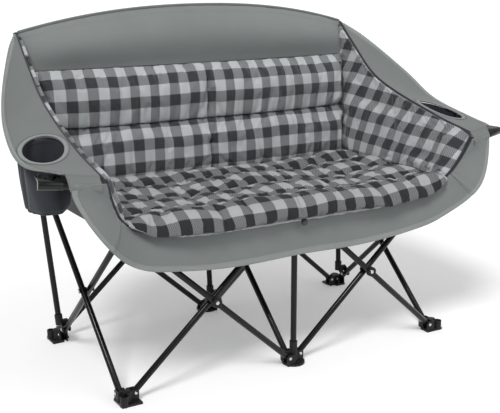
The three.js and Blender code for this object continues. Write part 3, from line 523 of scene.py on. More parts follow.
# %% Hard finishes
def hard(name, colour, rough, grain_scale, grain, metallic=0.0, coat=0.0, scratch=0.0, spec=0.5,
         spread=0.1):
    """A painted, moulded or bare metal finish with grain, uneven gloss and fine scratches."""
    m, n, shader = blank(name)
    where = n.add("ShaderNodeTexCoord").outputs["Object"]
    slow = n.noise(where, 14.0, 3.0)
    drawn = n.add("ShaderNodeMapping", inputs={0: where, 3: (900.0, 900.0, 60.0)}).outputs[0]
    worn = n.add("ShaderNodeMapRange",
                 inputs={0: n.noise(drawn, 1.0, 1.0), 1: 0.66, 2: 0.74, 3: 0.0, 4: scratch}).outputs[0]
    tone = n.math("MULTIPLY_ADD", slow, 0.3, 0.85)
    shade = n.add("ShaderNodeCombineXYZ", inputs={0: tone, 1: tone, 2: tone}).outputs[0]
    base = n.mix(1.0, colour, shade, "MULTIPLY")
    scratched = tuple(min(1, c * 2.2 + 0.05) for c in colour)
    n.link(n.mix(worn, base, scratched), shader.inputs["Base Color"])
    gloss = n.math("MULTIPLY_ADD", slow, spread * 2, rough - spread)
    n.link(n.math("ADD", gloss, n.math("MULTIPLY", worn, 0.3), clamp=True), shader.inputs["Roughness"])
    bump = n.add("ShaderNodeBump", inputs={"Strength": grain, "Distance": 0.0003,
                                           "Height": n.noise(where, grain_scale)})
    n.link(bump.outputs[0], shader.inputs["Normal"])
    shader.inputs["Metallic"].default_value = metallic
    shader.inputs["Coat Weight"].default_value = coat
    shader.inputs["Coat Roughness"].default_value = 0.12
    shader.inputs["Specular IOR Level"].default_value = spec
    return m


# %% The loveseat's own finishes
GREY = cloth("grey_cloth", (0.185, 0.202, 0.199))
# The arms' grey is the front's cloth painted darker: painted shade.
ARM_GREY_SHADED = cloth("grey_cloth_arms", (0.168, 0.184, 0.181))
# The upper back's grey is the front's cloth painted lighter: painted light.
BACK_GREY_LIT = cloth("grey_cloth_upper", (0.205, 0.223, 0.22))
GREY_BACK = cloth("grey_cloth_coated_side", (0.12, 0.132, 0.13), bump=0.2, rough=0.6, sheen=0.05)
HEM = cloth("grey_binding", (0.155, 0.172, 0.168), thread=0.0013, bump=0.5)
PALE_HEM = cloth("pale_hem", (0.255, 0.272, 0.268), thread=0.001, bump=0.4)
LIGHT_BIND = cloth("light_binding", (0.36, 0.375, 0.375), thread=0.0012, bump=0.5)
PLAID = cloth("buffalo_check", thread=0.0011, bump=0.4, sheen=0.3, rough=0.92)
# The seat's check is the pads' check painted darker: painted shade on the seat's top.
SHADED_PLAID = cloth("buffalo_check_seat", thread=0.0011, bump=0.4, sheen=0.1, rough=0.92,
                   check={"Light": (0.37, 0.385, 0.39, 1), "Dark": (0.021, 0.023, 0.025, 1)})
CHARCOAL = cloth("charcoal_cloth", (0.028, 0.031, 0.04), thread=0.001, bump=0.4, rough=0.75, sheen=0.2)
PIPING = cloth("dark_piping", (0.045, 0.049, 0.052), thread=0.0012, bump=0.4)
THREAD = cloth("thread", (0.3, 0.325, 0.32), thread=0.0008, bump=0.3, rough=0.6)
DARK_THREAD = cloth("dark_thread", (0.05, 0.054, 0.058), thread=0.0008, bump=0.3, rough=0.6)
STEEL = hard("black_powder_coat", (0.004, 0.004, 0.0044), 0.24, 420.0, 0.1, coat=0.1, scratch=0.1,
             spec=0.22)
PLASTIC = hard("black_moulding", (0.009, 0.0092, 0.0105), 0.42, 900.0, 0.3, spread=0.08, spec=0.3)
GLOSS = hard("glossy_moulding", (0.005, 0.005, 0.0055), 0.18, 500.0, 0.05, coat=0.15, spread=0.05, spec=0.3)
RIVET = hard("bright_rivet", (0.62, 0.62, 0.63), 0.28, 700.0, 0.12, metallic=1.0, scratch=0.2)
SNAP = hard("snap_metal", (0.035, 0.035, 0.038), 0.18, 500.0, 0.05, metallic=0.7, coat=0.5)
print(len([m for m in bpy.data.materials if m.use_nodes]), "materials with nodes")

# %% [markdown]
# Hard pieces are modelled as by hand. A piece that repeats is modelled once, at the origin and
# along Z, and each copy has its own mesh, laid in its place by a matrix.

# %% Operators for hard pieces
SMOOTH_UNDER = math.radians(35)
RIM_ROUND = 0.0003
made = []


def keep(obj, node, covers=True):
    """Puts a finished piece on its node's body; one that covers the node replaces it."""
    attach(obj, BODY_OF[node])
    if covers:
        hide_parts(node)
    made.append(obj)
    return obj


def nothing_selected():
    bpy.ops.object.select_all(action="DESELECT")


def pick_faces(obj, test):
    """In edit mode, selects the faces whose middle passes the test."""
    shape = bmesh.from_edit_mesh(obj.data)
    for f in shape.faces:
        f.select_set(False)
    for f in shape.faces:
        if test(f.calc_center_median()):
            f.select_set(True)
    bmesh.update_edit_mesh(obj.data)


def push(along):
    bpy.ops.mesh.extrude_region_move(TRANSFORM_OT_translate={"value": tuple(float(c) for c in along)})


def bevelled(obj, width, degrees):
    """Adds a Bevel modifier that rounds the edges sharper than an angle."""
    bevel = obj.modifiers.new("bevel", "BEVEL")
    bevel.width = width
    bevel.segments = 2
    bevel.limit_method = "ANGLE"
    bevel.angle_limit = math.radians(degrees)
    return bevel


def smoothed(obj):
    """Shades an object smooth but for its sharp edges."""
    nothing_selected()
    obj.select_set(True)
    bpy.context.view_layer.objects.active = obj
    bpy.ops.object.shade_smooth_by_angle(angle=SMOOTH_UNDER)


def softened(obj):
    """Rounds a tube's rims, applies that and shades the rest smooth."""
    bevel = bevelled(obj, RIM_ROUND, 50)
    bpy.ops.object.modifier_apply(modifier=bevel.name)
    smoothed(obj)


def model_of(obj):
    """Takes the finished mesh for copying and removes the object that it was modelled on."""
    bpy.ops.object.transform_apply(location=True, rotation=True, scale=True)
    mesh = obj.data.copy()
    bpy.data.objects.remove(obj)
    return mesh


# %% [markdown]
# Three models serve the whole frame: a tube, the pressed head of a rivet and a raised ring. Each
# starts from a primitive and is shaped in edit mode: the tube's ends are inset by its wall and
# pushed in, and the head is a ball cut above its middle and stood on a short rim.

# %% Models of a tube, a rivet's head and a ring
def tube_model(length):
    """A straight tube along Z, centred on the origin, bored at both ends and with rounded rims."""
    nothing_selected()
    bpy.ops.mesh.primitive_cylinder_add(vertices=32, radius=TUBE_R, depth=length)
    tube = bpy.context.active_object
    bpy.ops.object.mode_set(mode="EDIT")
    bpy.ops.mesh.select_mode(type="FACE")
    for end in (-length / 2, length / 2):
        pick_faces(tube, lambda c: abs(c.z - end) < WALL / 4)
        bpy.ops.mesh.inset(thickness=WALL)
        push((0, 0, -math.copysign(BORE, end)))
    bpy.ops.object.mode_set(mode="OBJECT")
    softened(tube)
    return model_of(tube)


HEAD_CUT = 0.08
HEAD_RIM = 0.2


def head_model():
    """A pressed rivet head of radius 1 and height 1: a ball cut above its middle, on a short rim."""
    nothing_selected()
    bpy.ops.mesh.primitive_uv_sphere_add(segments=24, ring_count=14, radius=1)
    head = bpy.context.active_object
    bpy.ops.object.mode_set(mode="EDIT")
    bpy.ops.mesh.select_all(action="SELECT")
    bpy.ops.mesh.bisect(plane_co=(0, 0, HEAD_CUT), plane_no=(0, 0, 1), use_fill=True, clear_inner=True)
    bpy.ops.mesh.select_mode(type="FACE")
    pick_faces(head, lambda c: c.z < HEAD_CUT + 0.001)
    push((0, 0, -HEAD_RIM))
    bpy.ops.object.mode_set(mode="OBJECT")
    bpy.ops.object.shade_smooth_by_angle(angle=math.radians(40))
    return model_of(head)


def ring_model():
    """A raised ring of radius 1, flattened a little."""
    nothing_selected()
    bpy.ops.mesh.primitive_torus_add(major_segments=40, minor_segments=10, major_radius=1,
                                     minor_radius=0.105)
    ring = bpy.context.active_object
    bpy.ops.object.mode_set(mode="EDIT")
    bpy.ops.mesh.select_all(action="SELECT")
    bpy.ops.transform.resize(value=(1, 1, 0.8))
    bpy.ops.object.mode_set(mode="OBJECT")
    bpy.ops.object.shade_smooth()
    return model_of(ring)


HEAD = head_model()
RING = ring_model()
print("rivet head", len(HEAD.polygons), "faces")


# %% Laying copies in place
def facing(at, outward, wide, high):
    """Lays a model of radius 1 and height 1 on a spot, pointing outward."""
    turn = Vector((0, 0, 1)).rotation_difference(Vector([float(c) for c in outward])).to_matrix().to_4x4()
    return Matrix.Translation([float(c) for c in at]) @ turn @ Matrix.Diagonal((wide, wide, high, 1))


def joined(name, pieces, mats):
    """One object from copies of modelled meshes, each laid by its matrix, with its own material."""
    verts, faces, slots, start = [], [], [], 0
    for mesh, matrix, slot in pieces:
        co = np.empty(len(mesh.vertices) * 3)
        mesh.vertices.foreach_get("co", co)
        m = np.array(matrix)
        verts.append(co.reshape(-1, 3) @ m[:3, :3].T + m[:3, 3])
        faces += [tuple(i + start for i in p.vertices) for p in mesh.polygons]
        slots += [slot] * len(mesh.polygons)
        start += len(mesh.vertices)
    return new_object(name, np.concatenate(verts), faces, mats, slots)


def laid_tube(name, model, a, b, node, extras=()):
    """A copy of a tube's model, laid from a to b in place of the faceted one."""
    pieces = [(model, facing((a + b) / 2, b - a, 1, 1), 0), *extras]
    obj = joined(name, pieces, [STEEL, PLASTIC])
    smoothed(obj)
    return keep(obj, node)


# %% [markdown]
# The frame folds because seven pairs of crossing tubes share their hubs and feet. Each tube is
# a copy of one model: a cylinder whose end faces are inset by the wall's thickness and pushed
# in, so that the tube is open where its cut end shows. The front and rear crossings carry a
# plastic disc with a raised ring, and every crossing has a bright rivet head.

# %% Scissor pairs
END_LAP = 0.006
DROP = HUB_Z - FOOT_Z
SCISSOR = tube_model(math.hypot(RUN, DROP) + 2 * END_LAP)
MID_Z = (HUB_Z + FOOT_Z) / 2
BOSS_FACE = 0.0223
BARE_FACE = 0.0203
SUNK = 0.0002
FRONT_HEAD = (0.0052, 0.002)
PIN_HEAD = (0.0046, 0.0018)
BOSS_RING = 0.0105


def scissor(names, cx, cy, heading):
    """A rising and a falling tube that cross at a spot, along X or along Y, with their rivet."""
    c, s = math.cos(heading), math.sin(heading)

    def at(u, v, z):
        return xyz(cx + c * u - s * v, cy + s * u + c * v, z)

    ends = {names[0]: (at(-RUN / 2, PLANE, FOOT_Z), at(RUN / 2, PLANE, HUB_Z)),
            names[1]: (at(-RUN / 2, -PLANE, HUB_Z), at(RUN / 2, -PLANE, FOOT_Z))}
    for node, (a, b) in ends.items():
        laid_tube(node + "_smooth", SCISSOR, a, b, node)
    out = at(0, 1, 0) - at(0, 0, 0)
    front = BOSS_FACE if heading == 0 else BARE_FACE
    heads = [(HEAD, facing(at(0, SUNK - front, MID_Z), -out, *FRONT_HEAD), 0),
             (HEAD, facing(at(0, BARE_FACE - SUNK, MID_Z), out, *PIN_HEAD), 0)]
    if heading == 0:
        heads.append((RING, facing(at(0, -front - SUNK, MID_Z), -out, BOSS_RING, BOSS_RING), 1))
    keep(joined(names[2] + "_rivet", heads, [RIVET, PLASTIC]), names[2], covers=False)


for side, sign in (("left", -1), ("right", 1)):
    for row, y in (("front", -HALF), ("rear", HALF)):
        names = [f"{row}_{side}_{k}" for k in ("rising_tube", "falling_tube", "cross_pivot")]
        scissor(names, sign * PITCH / 2, y, 0)
for side, x in (("left", -PITCH), ("middle", 0), ("right", PITCH)):
    names = [f"{side}_side_{k}" for k in ("rising_tube", "falling_tube", "cross_pivot")]
    scissor(names, x, 0, math.pi / 2)
print("scissor tubes", round(math.hypot(RUN, DROP) + 2 * END_LAP, 4), "m long")

# %% [markdown]
# The front post stands between the middle hub and the foot's collar. The three back posts lean
# with the back and end in a plastic cap, and their lower ends are pinned to the side tubes.

# %% Posts and caps
POST_FOOT_Z, POST_TOP_Z = 0.009, 0.4203
SLEEVE_X = 0.5
SLEEVE_OUT, MIDDLE_SLEEVE_OUT = 0.02, 0.006
CROWN_BACK = 1.2
CAP_OVER = 0.0006
CAP_HIGH = 0.003
SOCKET_FACE = 0.0133
post_foot, post_top = xyz(0, -HALF, POST_FOOT_Z), xyz(0, -HALF, POST_TOP_Z)
laid_tube("front_middle_post_smooth", tube_model(post_top[2] - post_foot[2]), post_foot, post_top,
          "front_middle_post")
TOP_CORNER = place([1.093, 1.305, 1])
POST_BOTTOM = 0.055
PIN_AT = 0.036 / math.hypot(RUN, DROP)
for name, column in (("left", -1), ("middle", 0), ("right", 1)):
    sleeve = xyz(column * SLEEVE_X, HALF + (SLEEVE_OUT if column else MIDDLE_SLEEVE_OUT), HUB_Z)
    top = TOP_CORNER * [column, 1, 1] if column else xyz(0, CROWN_BACK * HALF, CROWN_Z)
    low = sleeve + (top - sleeve) * (POST_BOTTOM - HUB_Z) / (top - sleeve)[2]
    cap = (HEAD, facing(top, top - low, TUBE_R + CAP_OVER, CAP_HIGH), 1)
    laid_tube(f"rear_{name}_post_smooth", tube_model(np.linalg.norm(top - low)), low, top,
              f"rear_{name}_post", [cap])
    py, pz = HALF - INSET - PIN_AT * RUN, FOOT_Z + PIN_AT * DROP
    heads = []
    for d in (-1, 1):
        spot = xyz(column * PITCH + PLANE + d * SOCKET_FACE, py, pz)
        heads.append((HEAD, facing(spot, (d, 0, 0), *PIN_HEAD), 0))
    keep(joined(f"rear_{name}_post_joint_rivet", heads, [RIVET]), f"rear_{name}_post_joint", covers=False)
print("posts", round(float(post_top[2] - post_foot[2]), 4), "m long in front and",
      round(float(np.linalg.norm(top - low)), 4), "m at the rear corners")

# %% [markdown]
# Each arm's front is one bent tube. It is modelled as it is bent in the shop: a ring is pushed
# along the first leg, spun round each bend and pushed on. A Solidify modifier then gives the
# tube its wall, so its end is open. The left one is the right one's mirror image.

# %% Bent arm tubes
BEND = 0.024
ARM_START = xyz(0.493, -0.253, 0.407)
ARM_RISER = xyz(0.493, -0.253, 0.447)
ARM_ELBOW = place([1.142, -1.2, 0.325])
BAR_END = place([1.412, -1.092, 0.352])
BAR_DIR = unit(BAR_END - ARM_ELBOW)


def arm_model():
    """The right arm's tube, pushed along its legs and spun round its two bends."""
    corners = [ARM_START, ARM_RISER, ARM_ELBOW, BAR_END]
    ways = [unit(b - a) for a, b in zip(corners, corners[1:])]
    nothing_selected()
    turn = Vector((0, 0, 1)).rotation_difference(Vector(ways[0])).to_euler()
    bpy.ops.mesh.primitive_circle_add(vertices=32, radius=TUBE_R, fill_type="NOTHING",
                                      location=tuple(ARM_START), rotation=turn)
    arm = bpy.context.active_object
    bpy.ops.object.mode_set(mode="EDIT")
    bpy.ops.mesh.select_all(action="SELECT")
    at = ARM_START
    for corner, way, onward in zip(corners[1:-1], ways, ways[1:]):
        bend = math.acos(np.dot(way, onward))
        start = corner - way * BEND * math.tan(bend / 2)
        push(start - at)
        inward = unit(onward - way * np.dot(way, onward))
        bpy.ops.mesh.spin(steps=8, angle=-bend, center=tuple(start + inward * BEND),
                          axis=tuple(unit(np.cross(way, onward))))
        at = corner + onward * BEND * math.tan(bend / 2)
    push(BAR_END - at)
    bpy.ops.mesh.select_all(action="SELECT")
    bpy.ops.mesh.normals_make_consistent(inside=False)
    bpy.ops.object.mode_set(mode="OBJECT")
    wall = arm.modifiers.new("wall", "SOLIDIFY")
    wall.thickness = WALL
    wall.offset = -1
    bpy.ops.object.modifier_apply(modifier=wall.name)
    softened(arm)
    return model_of(arm)


# %% Arm tubes on both sides
ARM = arm_model()
reached = max((v.co for v in ARM.vertices), key=lambda c: c.x)
print("arm tube ends near", [round(c, 4) for c in reached], "and should end at", BAR_END.round(4))
for name, sign in (("left", -1), ("right", 1)):
    mesh = ARM.copy()
    mesh.transform(Matrix.Diagonal((sign, 1, 1, 1)))
    if sign < 0:
        mesh.flip_normals()
    mesh.materials.append(STEEL)
    arm = bpy.data.objects.new(f"{name}_arm_post_smooth", mesh)
    bpy.context.scene.collection.objects.link(arm)
    keep(arm, f"{name}_arm_post")

# %% [markdown]
# Every tube turns on a rivet in its casting, so both cheeks of each ear carry a head.

# %% Rivets on the feet and hubs
EARS = {"left": ((0, 1), (1, 0)), "middle": ((0, 1), (1, 0), (-1, 0)), "right": ((0, 1), (-1, 0))}
EAR_FACE = 0.01245
EAR_HEAD = (0.0044, 0.0019)
for row, ysign in (("front", -1), ("rear", 1)):
    for col, cx in (("left", -PITCH), ("middle", 0), ("right", PITCH)):
        for kind, z, lateral in (("foot", FOOT_Z, PLANE), ("top_hub", HUB_Z, -PLANE)):
            heads = []
            for hx, hy in EARS[col]:
                hy = -ysign if hy else 0
                for d in (-1, 1):
                    v = lateral + d * EAR_FACE
                    spot = xyz(cx + hx * INSET - hy * v, ysign * HALF + hy * INSET + hx * v, z)
                    heads.append((HEAD, facing(spot, (-hy * d, hx * d, 0), *EAR_HEAD), 0))
            node = f"{row}_{col}_{kind}"
            keep(joined(node + "_rivets", heads, [RIVET]), node, covers=False)
print(len(made), "hard pieces so far, with the rivets")

# %% [markdown]
# The castings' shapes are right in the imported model, so they stay. Live modifiers round their
# moulded edges, and the facets of their round faces are shaded smooth.

# %% Castings
MOULDED_EDGE = 0.0008
castings = 0
for node, obj in frame["nodes"].items():
    if node.endswith(("_foot", "_top_hub", "_cross_pivot", "_post_joint", "_stem_clip")):
        obj.data.materials.clear()
        obj.data.materials.append(GLOSS if node.endswith("_stem_clip") else PLASTIC)
        weld = obj.modifiers.new("weld", "WELD")
        weld.merge_threshold = 0.00002
        flat = obj.modifiers.new("flat", "DECIMATE")
        flat.decimate_type = "DISSOLVE"
        flat.angle_limit = math.radians(3)
        bevelled(obj, MOULDED_EDGE, 34)
        smoothed(obj)
        castings += 1
nothing_selected()
print(castings, "castings rounded")

# %% [markdown]
# The sewn pieces share their seams. The inner seam joins arm band and wing, the outer edge is
# the band's hem, the wing's foot meets the seat, and two curves bound the front band, which
# runs from arm to arm. All are given for the right side and mirrored.

# %% Seams shared by the sewn pieces
SEAM = Path([(1.1, 1.258, 0.998), (1.103, 0.947, 0.844), (1.106, 0.482, 0.644), (1.13, -0.598, 0.447),
             (1.137, -1.2, 0.375)])
EDGE = Path([(1.105, 1.3, 1.003), (1.184, 1.033, 0.916), (1.333, 0.409, 0.659), (1.386, 0.01, 0.503),
             (1.411, -0.639, 0.407), (1.32, -1.12, 0.402)])
WING_FOOT = Path([(1.035, 0.9, 0.045), (1.048, -0.2, 0.04), (1.042, -0.8, 0.045), (0.993, -1.13, 0.075)])
APRON_IN = Path([(0, -1.104, 0.01), (0.6, -1.104, 0.01), (0.95, -1.108, 0.05), (1.007, -1.125, 0.092),
                 (1.045, -1.15, 0.135), (1.092, -1.215, 0.238), (1.125, -1.278, 0.352)])
APRON_OUT = Path([(0, -1.13, -0.24), (0.406, -1.14, -0.244), (0.712, -1.195, -0.206),
                  (0.95, -1.191, -0.154), (1.161, -1.365, 0.043), (1.281, -1.22, 0.294),
                  (1.272, -1.21, 0.355)])
PANEL_FOOT = 0.4274
SLING_Z = 0.4244
HEM_WIDE = 0.016


def with_hem(count, hem, length):
    """Shares from 0 to 1, with close rows at a hem of that width before the end."""
    h = hem / length
    close = [1 - h, 1 - h * 0.9, 1 - h * 0.5, 1 - h * 0.1, 1]
    return np.concatenate([np.linspace(0, 1 - h * 1.12, count), close])


def hem_lift(share, hem, length, lift):
    """How far the cloth stands up where it is folded double at the hem."""
    start = 1 - hem / length * 1.05
    return lift * min(max((share - start) / (hem / length * 0.15), 0), 1)


# %% [markdown]
# The back panel hangs between the three posts, with a fibre rod sewn into its top edge. It
# bellies forward between foot and crown. Above the pad it is free cloth, pulled tight between
# the pad's top seam and the rod, so it swells a little more there and its top leans back.

# %% Back panel: its shape
PAD_TOP = 0.7515
PANEL_LONG = 0.48
FOOT_WIDE, TOP_WIDE = 1.0284, 1.0898
FOOT_BACK = 0.93
BOW = 0.18
FREE_SWELL = 0.034


def crown(a):
    return CROWN_Z - (CROWN_Z - TOP_CORNER[2]) * abs(a) ** 2.2


def pad_share(a):
    """Where the pad's top seam crosses the panel, as a share of its height."""
    return (PAD_TOP - PANEL_FOOT) / (crown(a) - PANEL_FOOT)


def back_point(a, h, forward):
    """A point in front of the back panel's rear face, at a share across and a share of its height."""
    face = TUBE_R + CAP_OVER
    crown_y = CROWN_BACK * HALF + SHIFT - face
    top_y = crown_y + (TOP_CORNER[1] - face - crown_y) * a * a
    half = PITCH * (FOOT_WIDE + (TOP_WIDE - FOOT_WIDE) * h)
    foot_y = FOOT_BACK * HALF + SHIFT
    bow = BOW * (top_y - foot_y) * math.sin(math.pi * min(max(h, 0), 1))
    return np.array([a * half, foot_y + (top_y - foot_y) * h - bow - forward,
                     PANEL_FOOT + (crown(a) - PANEL_FOOT) * h])


def free_swell(a, h):
    """How far the free cloth above the pad stands forward, none at the pad, the rod and the sides."""
    u = min(max((h - pad_share(a)) / (1 - pad_share(a)), 0), 1)
    return FREE_SWELL * math.sin(math.pi * u**1.1) * (1 - abs(a) ** 10)


lean = back_point(0, 1, 0)[1] - back_point(0, 0, 0)[1]
print("the back leans", round(float(lean), 3), "m back over a rise of", round(crown(0) - PANEL_FOOT, 3), "m")


# %% Back panel: its cloth
HEM_OUT = 0.0012
HEM_BACK = 0.0008
BATTEN_R = 0.0042
BATTEN_UP = 0.0028
STITCH_UP = 0.0014
SIDE_OUT = 1.006
PAD_LINE, FREE_FROM, FREE_SOFT = 0.665, 0.68, 0.01
rows = with_hem(40, HEM_WIDE, PANEL_LONG)
cols = np.linspace(-1, 1, 97)
A, H = np.meshgrid(cols, rows)
base = np.array([[back_point(a, h, free_swell(a, h)) for a in cols] for h in rows])
calm = np.sin(math.pi * H) * (1 - A**8)
free = 1 / (1 + np.exp(-(H - FREE_FROM) / FREE_SOFT))
slack = calm * (rippled(base, size=0.0026, scale=5.0) + 0.0012 * np.sin(6 * A + 2 * H))
at_pad, at_rod = (H - PAD_LINE) * PANEL_LONG, (1 - H) * PANEL_LONG
tight = pucker(A * 0.5, at_pad, size=0.0022, wave=0.03, reach=0.03, seed=4.0) * free
tight += pucker(A * 0.5, at_rod, size=0.002, wave=0.045, reach=0.035, seed=9.0)
hem = np.array([hem_lift(h, HEM_WIDE, PANEL_LONG, 1.0) for h in rows])[:, None]
face = base.copy()
face[..., 1] += slack + tight - CLOTH - HEM_OUT * hem
rear = base.copy()
rear[..., 1] += slack + tight + HEM_BACK * hem
# The upper back takes the lighter grey, which is painted light.
back_panel = closed_sheet("back_panel_cloth", face, rear, uv_grid(face), [BACK_GREY_LIT])
keep(back_panel, "back_panel")
side_seams = [[back_point(a, h, 0.0) for h in np.linspace(0.002, 0.985, 60)]
              for a in (-SIDE_OUT, SIDE_OUT)]
side_binding = merged("back_side_binding", [rope(line, BATTEN_R) for line in side_seams], HEM)
put_uv(side_binding, [spot for line in side_seams for spot in rope_uv(line, BATTEN_R)])
keep(side_binding, "back_panel", covers=False)

roll = [back_point(a, 1, CLOTH / 2) + [0, 0, BATTEN_UP] for a in cols]
batten = merged("top_batten_hem", [rope(roll, BATTEN_R, sides=14)], HEM)
put_uv(batten, rope_uv(roll, BATTEN_R, sides=14))
keep(batten, "top_batten")
hem_at = 1 - HEM_WIDE / PANEL_LONG
line = [back_point(a, hem_at, CLOTH + STITCH_UP) for a in np.linspace(-0.985, 0.985, 260)]
hem_thread = sewn("back_hem_thread", [line], [0, -1, 0], DARK_THREAD)
keep(hem_thread, "back_panel", covers=False)

# %% [markdown]
# A wing is two cloths sewn into the side: a plain one outside and the quilted check inside. It
# runs from the back post to the front band. In its last few centimetres it turns outward
# round the arm's tube, to meet the front band's inner edge; only its top edge stays on the
# arm's seam.

# %% Wings: outer cloth
TURN_OUT = 0.93
WING_SHARE = 0.505
CORNER_STEEP = 70


def smooth_step(x):
    x = np.clip(x, 0, 1)
    return x * x * (3 - 2 * x)


def front_edge(k):
    """On the front band's inner edge, from the arm's bar down to the seat."""
    return APRON_IN.by_knot(1 - WING_SHARE * k)


def wing_grid(alongs, downs):
    """Points of a wing, from the back post forwards and from the arm's seam down."""
    rows = []
    for t in alongs:
        pull = smooth_step((t - TURN_OUT) / (1 - TURN_OUT))
        top, foot = SEAM.by_length(t), WING_FOOT.by_length(t)
        row = []
        for k in downs:
            end = SEAM.by_length(1) * (1 - k) + WING_FOOT.by_length(1) * k
            row.append(top * (1 - k) + foot * k + pull * (front_edge(k) - end) * min(1, k * CORNER_STEEP))
        rows.append(row)
    return np.array(rows)


along, down = np.linspace(0, 1, 81), np.append([0, 0.015], np.linspace(0.04, 1.04, 25))
base = wing_grid(along, down)
normal = normals_of(base)
for name, sign in (("left", -1), ("right", 1)):
    wave = rippled(base * [sign, 1, 1], size=0.0022, scale=6.0, seed=3.0 + sign) * np.sin(math.pi * down)
    face = side_of(base + normal * (CLOTH + wave)[..., None], sign)
    rear = side_of(base + normal * wave[..., None], sign)
    wing = closed_sheet(f"{name}_wing_cloth", face, rear, side_uv(uv_grid(base), sign), [CHARCOAL])
    keep(wing, f"{name}_wing_shell")

# %% [markdown]
# The arm band is a flat strip of cloth outside the inner seam. Its outer edge is folded into a
# hem with two rows of stitches, and its front end turns down loosely round the arm's bar, as
# far as the clip. Rows of points across the band make it, closer together at the hem.

# %% Arm bands: the strip
MOUTH = place([1.265, -0.4, 0.4])
MOUTH_R = 0.0495
MOUTH_LONG = 1.42
MOUTH_TURN = math.radians(14)
BAND_START = 0.006
BAND_HEM = 0.012
BAR_WRAP = 0.0112
FLAP = 0.0085
WRAP_TURN = 2.3
CLIP_FROM, CLIP_FADE = 0.622, 0.008
SEAM_OUT = 0.0012
DROOP = 0.005


def band_point(t, k):
    """On the band at a share of its length and a share from the outer edge to the inner seam."""
    share = BAND_START + t * (1 - BAND_START)
    inner = SEAM.by_knot(share) + [SEAM_OUT, 0, SEAM_OUT]
    droop = math.sin(math.pi * min(max(k, 0), 1)) * math.sin(math.pi * min(max(t, 0), 1)) * DROOP
    return EDGE.by_knot(share) * (1 - k) + inner * k - [0, 0, droop]


def hem_share(t):
    """The outer hem's width as a share of the band's width there."""
    wide = np.linalg.norm(band_point(t, 0) - band_point(t, 1))
    return min(BAND_HEM / max(wide, 0.001), 0.45)


# %% Arm bands: its grid
def wrapped(t, k):
    """Past the band's end the cloth turns down round the arm's bar, but not over the clip."""
    p = band_point(min(t, 1), k)
    if t <= 1:
        return p
    over = smooth_step((CLIP_FROM - p[0]) / CLIP_FADE)
    axis = ARM_ELBOW + BAR_DIR * max(np.dot(p - ARM_ELBOW, BAR_DIR), 0.0)
    turn = (t - 1) * WRAP_TURN
    wide = BAR_WRAP + FLAP * min(1, (t - 1) * 1.4)
    ring = axis + wide * np.array([0, -math.sin(turn), math.cos(turn)])
    mixing = min(1, (t - 1) * 3) * over
    return p * (1 - mixing) + ring * mixing


t_rows = np.concatenate([np.linspace(0, 1, 92), 1 + np.linspace(0.05, 1, 14)])
hem_marks = np.array([0, 0.08, 0.35, 0.75, 0.95, 1.05])
rest_marks = np.linspace(0.04, 1, 24)
HEM_LIFTS = [0.0008, 0.0014, 0.0014, 0.0014, 0.0012, 0]
band_rows, lifts = [], []
for t in t_rows:
    h = hem_share(min(t, 1))
    ks = np.concatenate([hem_marks * h, h * 1.05 + (1 - h * 1.05) * rest_marks])
    band_rows.append([wrapped(t, k) for k in ks])
band_face = np.array(band_rows)
band_normal = normals_of(band_face)
lift = np.concatenate([HEM_LIFTS, np.zeros(len(rest_marks))])
hem_slots = np.zeros((len(t_rows) - 1, len(lift) - 1), int)
hem_slots[:91, :5] = 1
band_uv = uv_grid(band_face)

# %% [markdown]
# The cup's mouth is an oval hole in the strip, bound with a flat tape. The hole is a Boolean cut
# with an oval cylinder, because the band's own grid has no edge there. The tape, the stitches
# round it and the pouch below all need the band's height at a spot, which a ray finds.

# %% Arm bands: the mouth
LID_UNKNOWN = 0.02
lid = np.array([[band_point(t, k) for k in np.linspace(-0.4, 1.4, 30)] for t in np.linspace(0.2, 1.15, 60)])
LID = BVHTree.FromPolygons([Vector(p) for p in lid.reshape(-1, 3)],
                           [tuple(map(int, f)) for f in grid_faces(*lid.shape[:2])])


def lid_height(x, y):
    """The band's height at a spot, or a little over the mouth's middle where there is no band."""
    hit = LID.ray_cast(Vector((x, y, 2.0)), Vector((0, 0, -1)))
    return hit[0].z if hit[0] is not None else MOUTH[2] + LID_UNKNOWN


def oval(a, wide, long):
    """A point of an oval round the mouth's middle, seen from above, turned with its front end out."""
    x, y = wide * math.cos(a), long * math.sin(a)
    c, s = math.cos(MOUTH_TURN), math.sin(MOUTH_TURN)
    return MOUTH[0] + x * c - y * s, MOUTH[1] + x * s + y * c


def on_lid(turns, grow, lift):
    """Points on the band round its mouth, that far outside the hole and that far up."""
    spots = [oval(a, MOUTH_R + grow, MOUTH_R * MOUTH_LONG + grow) for a in turns]
    return np.array([[x, y, lid_height(x, y) + lift] for x, y in spots])


def cut_mouth(obj, sign):
    """Cuts the oval hole with a cylinder and removes the cylinder."""
    nothing_selected()
    bpy.ops.mesh.primitive_cylinder_add(vertices=72, radius=MOUTH_R, depth=0.3, location=(0, 0, 0))
    tool = bpy.context.active_object
    middle = Matrix.Translation((MOUTH[0] * sign, MOUTH[1], MOUTH[2]))
    turned = Matrix.Rotation(MOUTH_TURN * sign, 4, "Z")
    tool.data.transform(middle @ turned @ Matrix.Diagonal((1, MOUTH_LONG, 1, 1)))
    cutter = obj.modifiers.new("mouth", "BOOLEAN")
    cutter.operation = "DIFFERENCE"
    cutter.solver = "EXACT"
    cutter.object = tool
    bpy.context.view_layer.objects.active = obj
    bpy.ops.object.modifier_apply(modifier=cutter.name)
    bpy.data.objects.remove(tool)


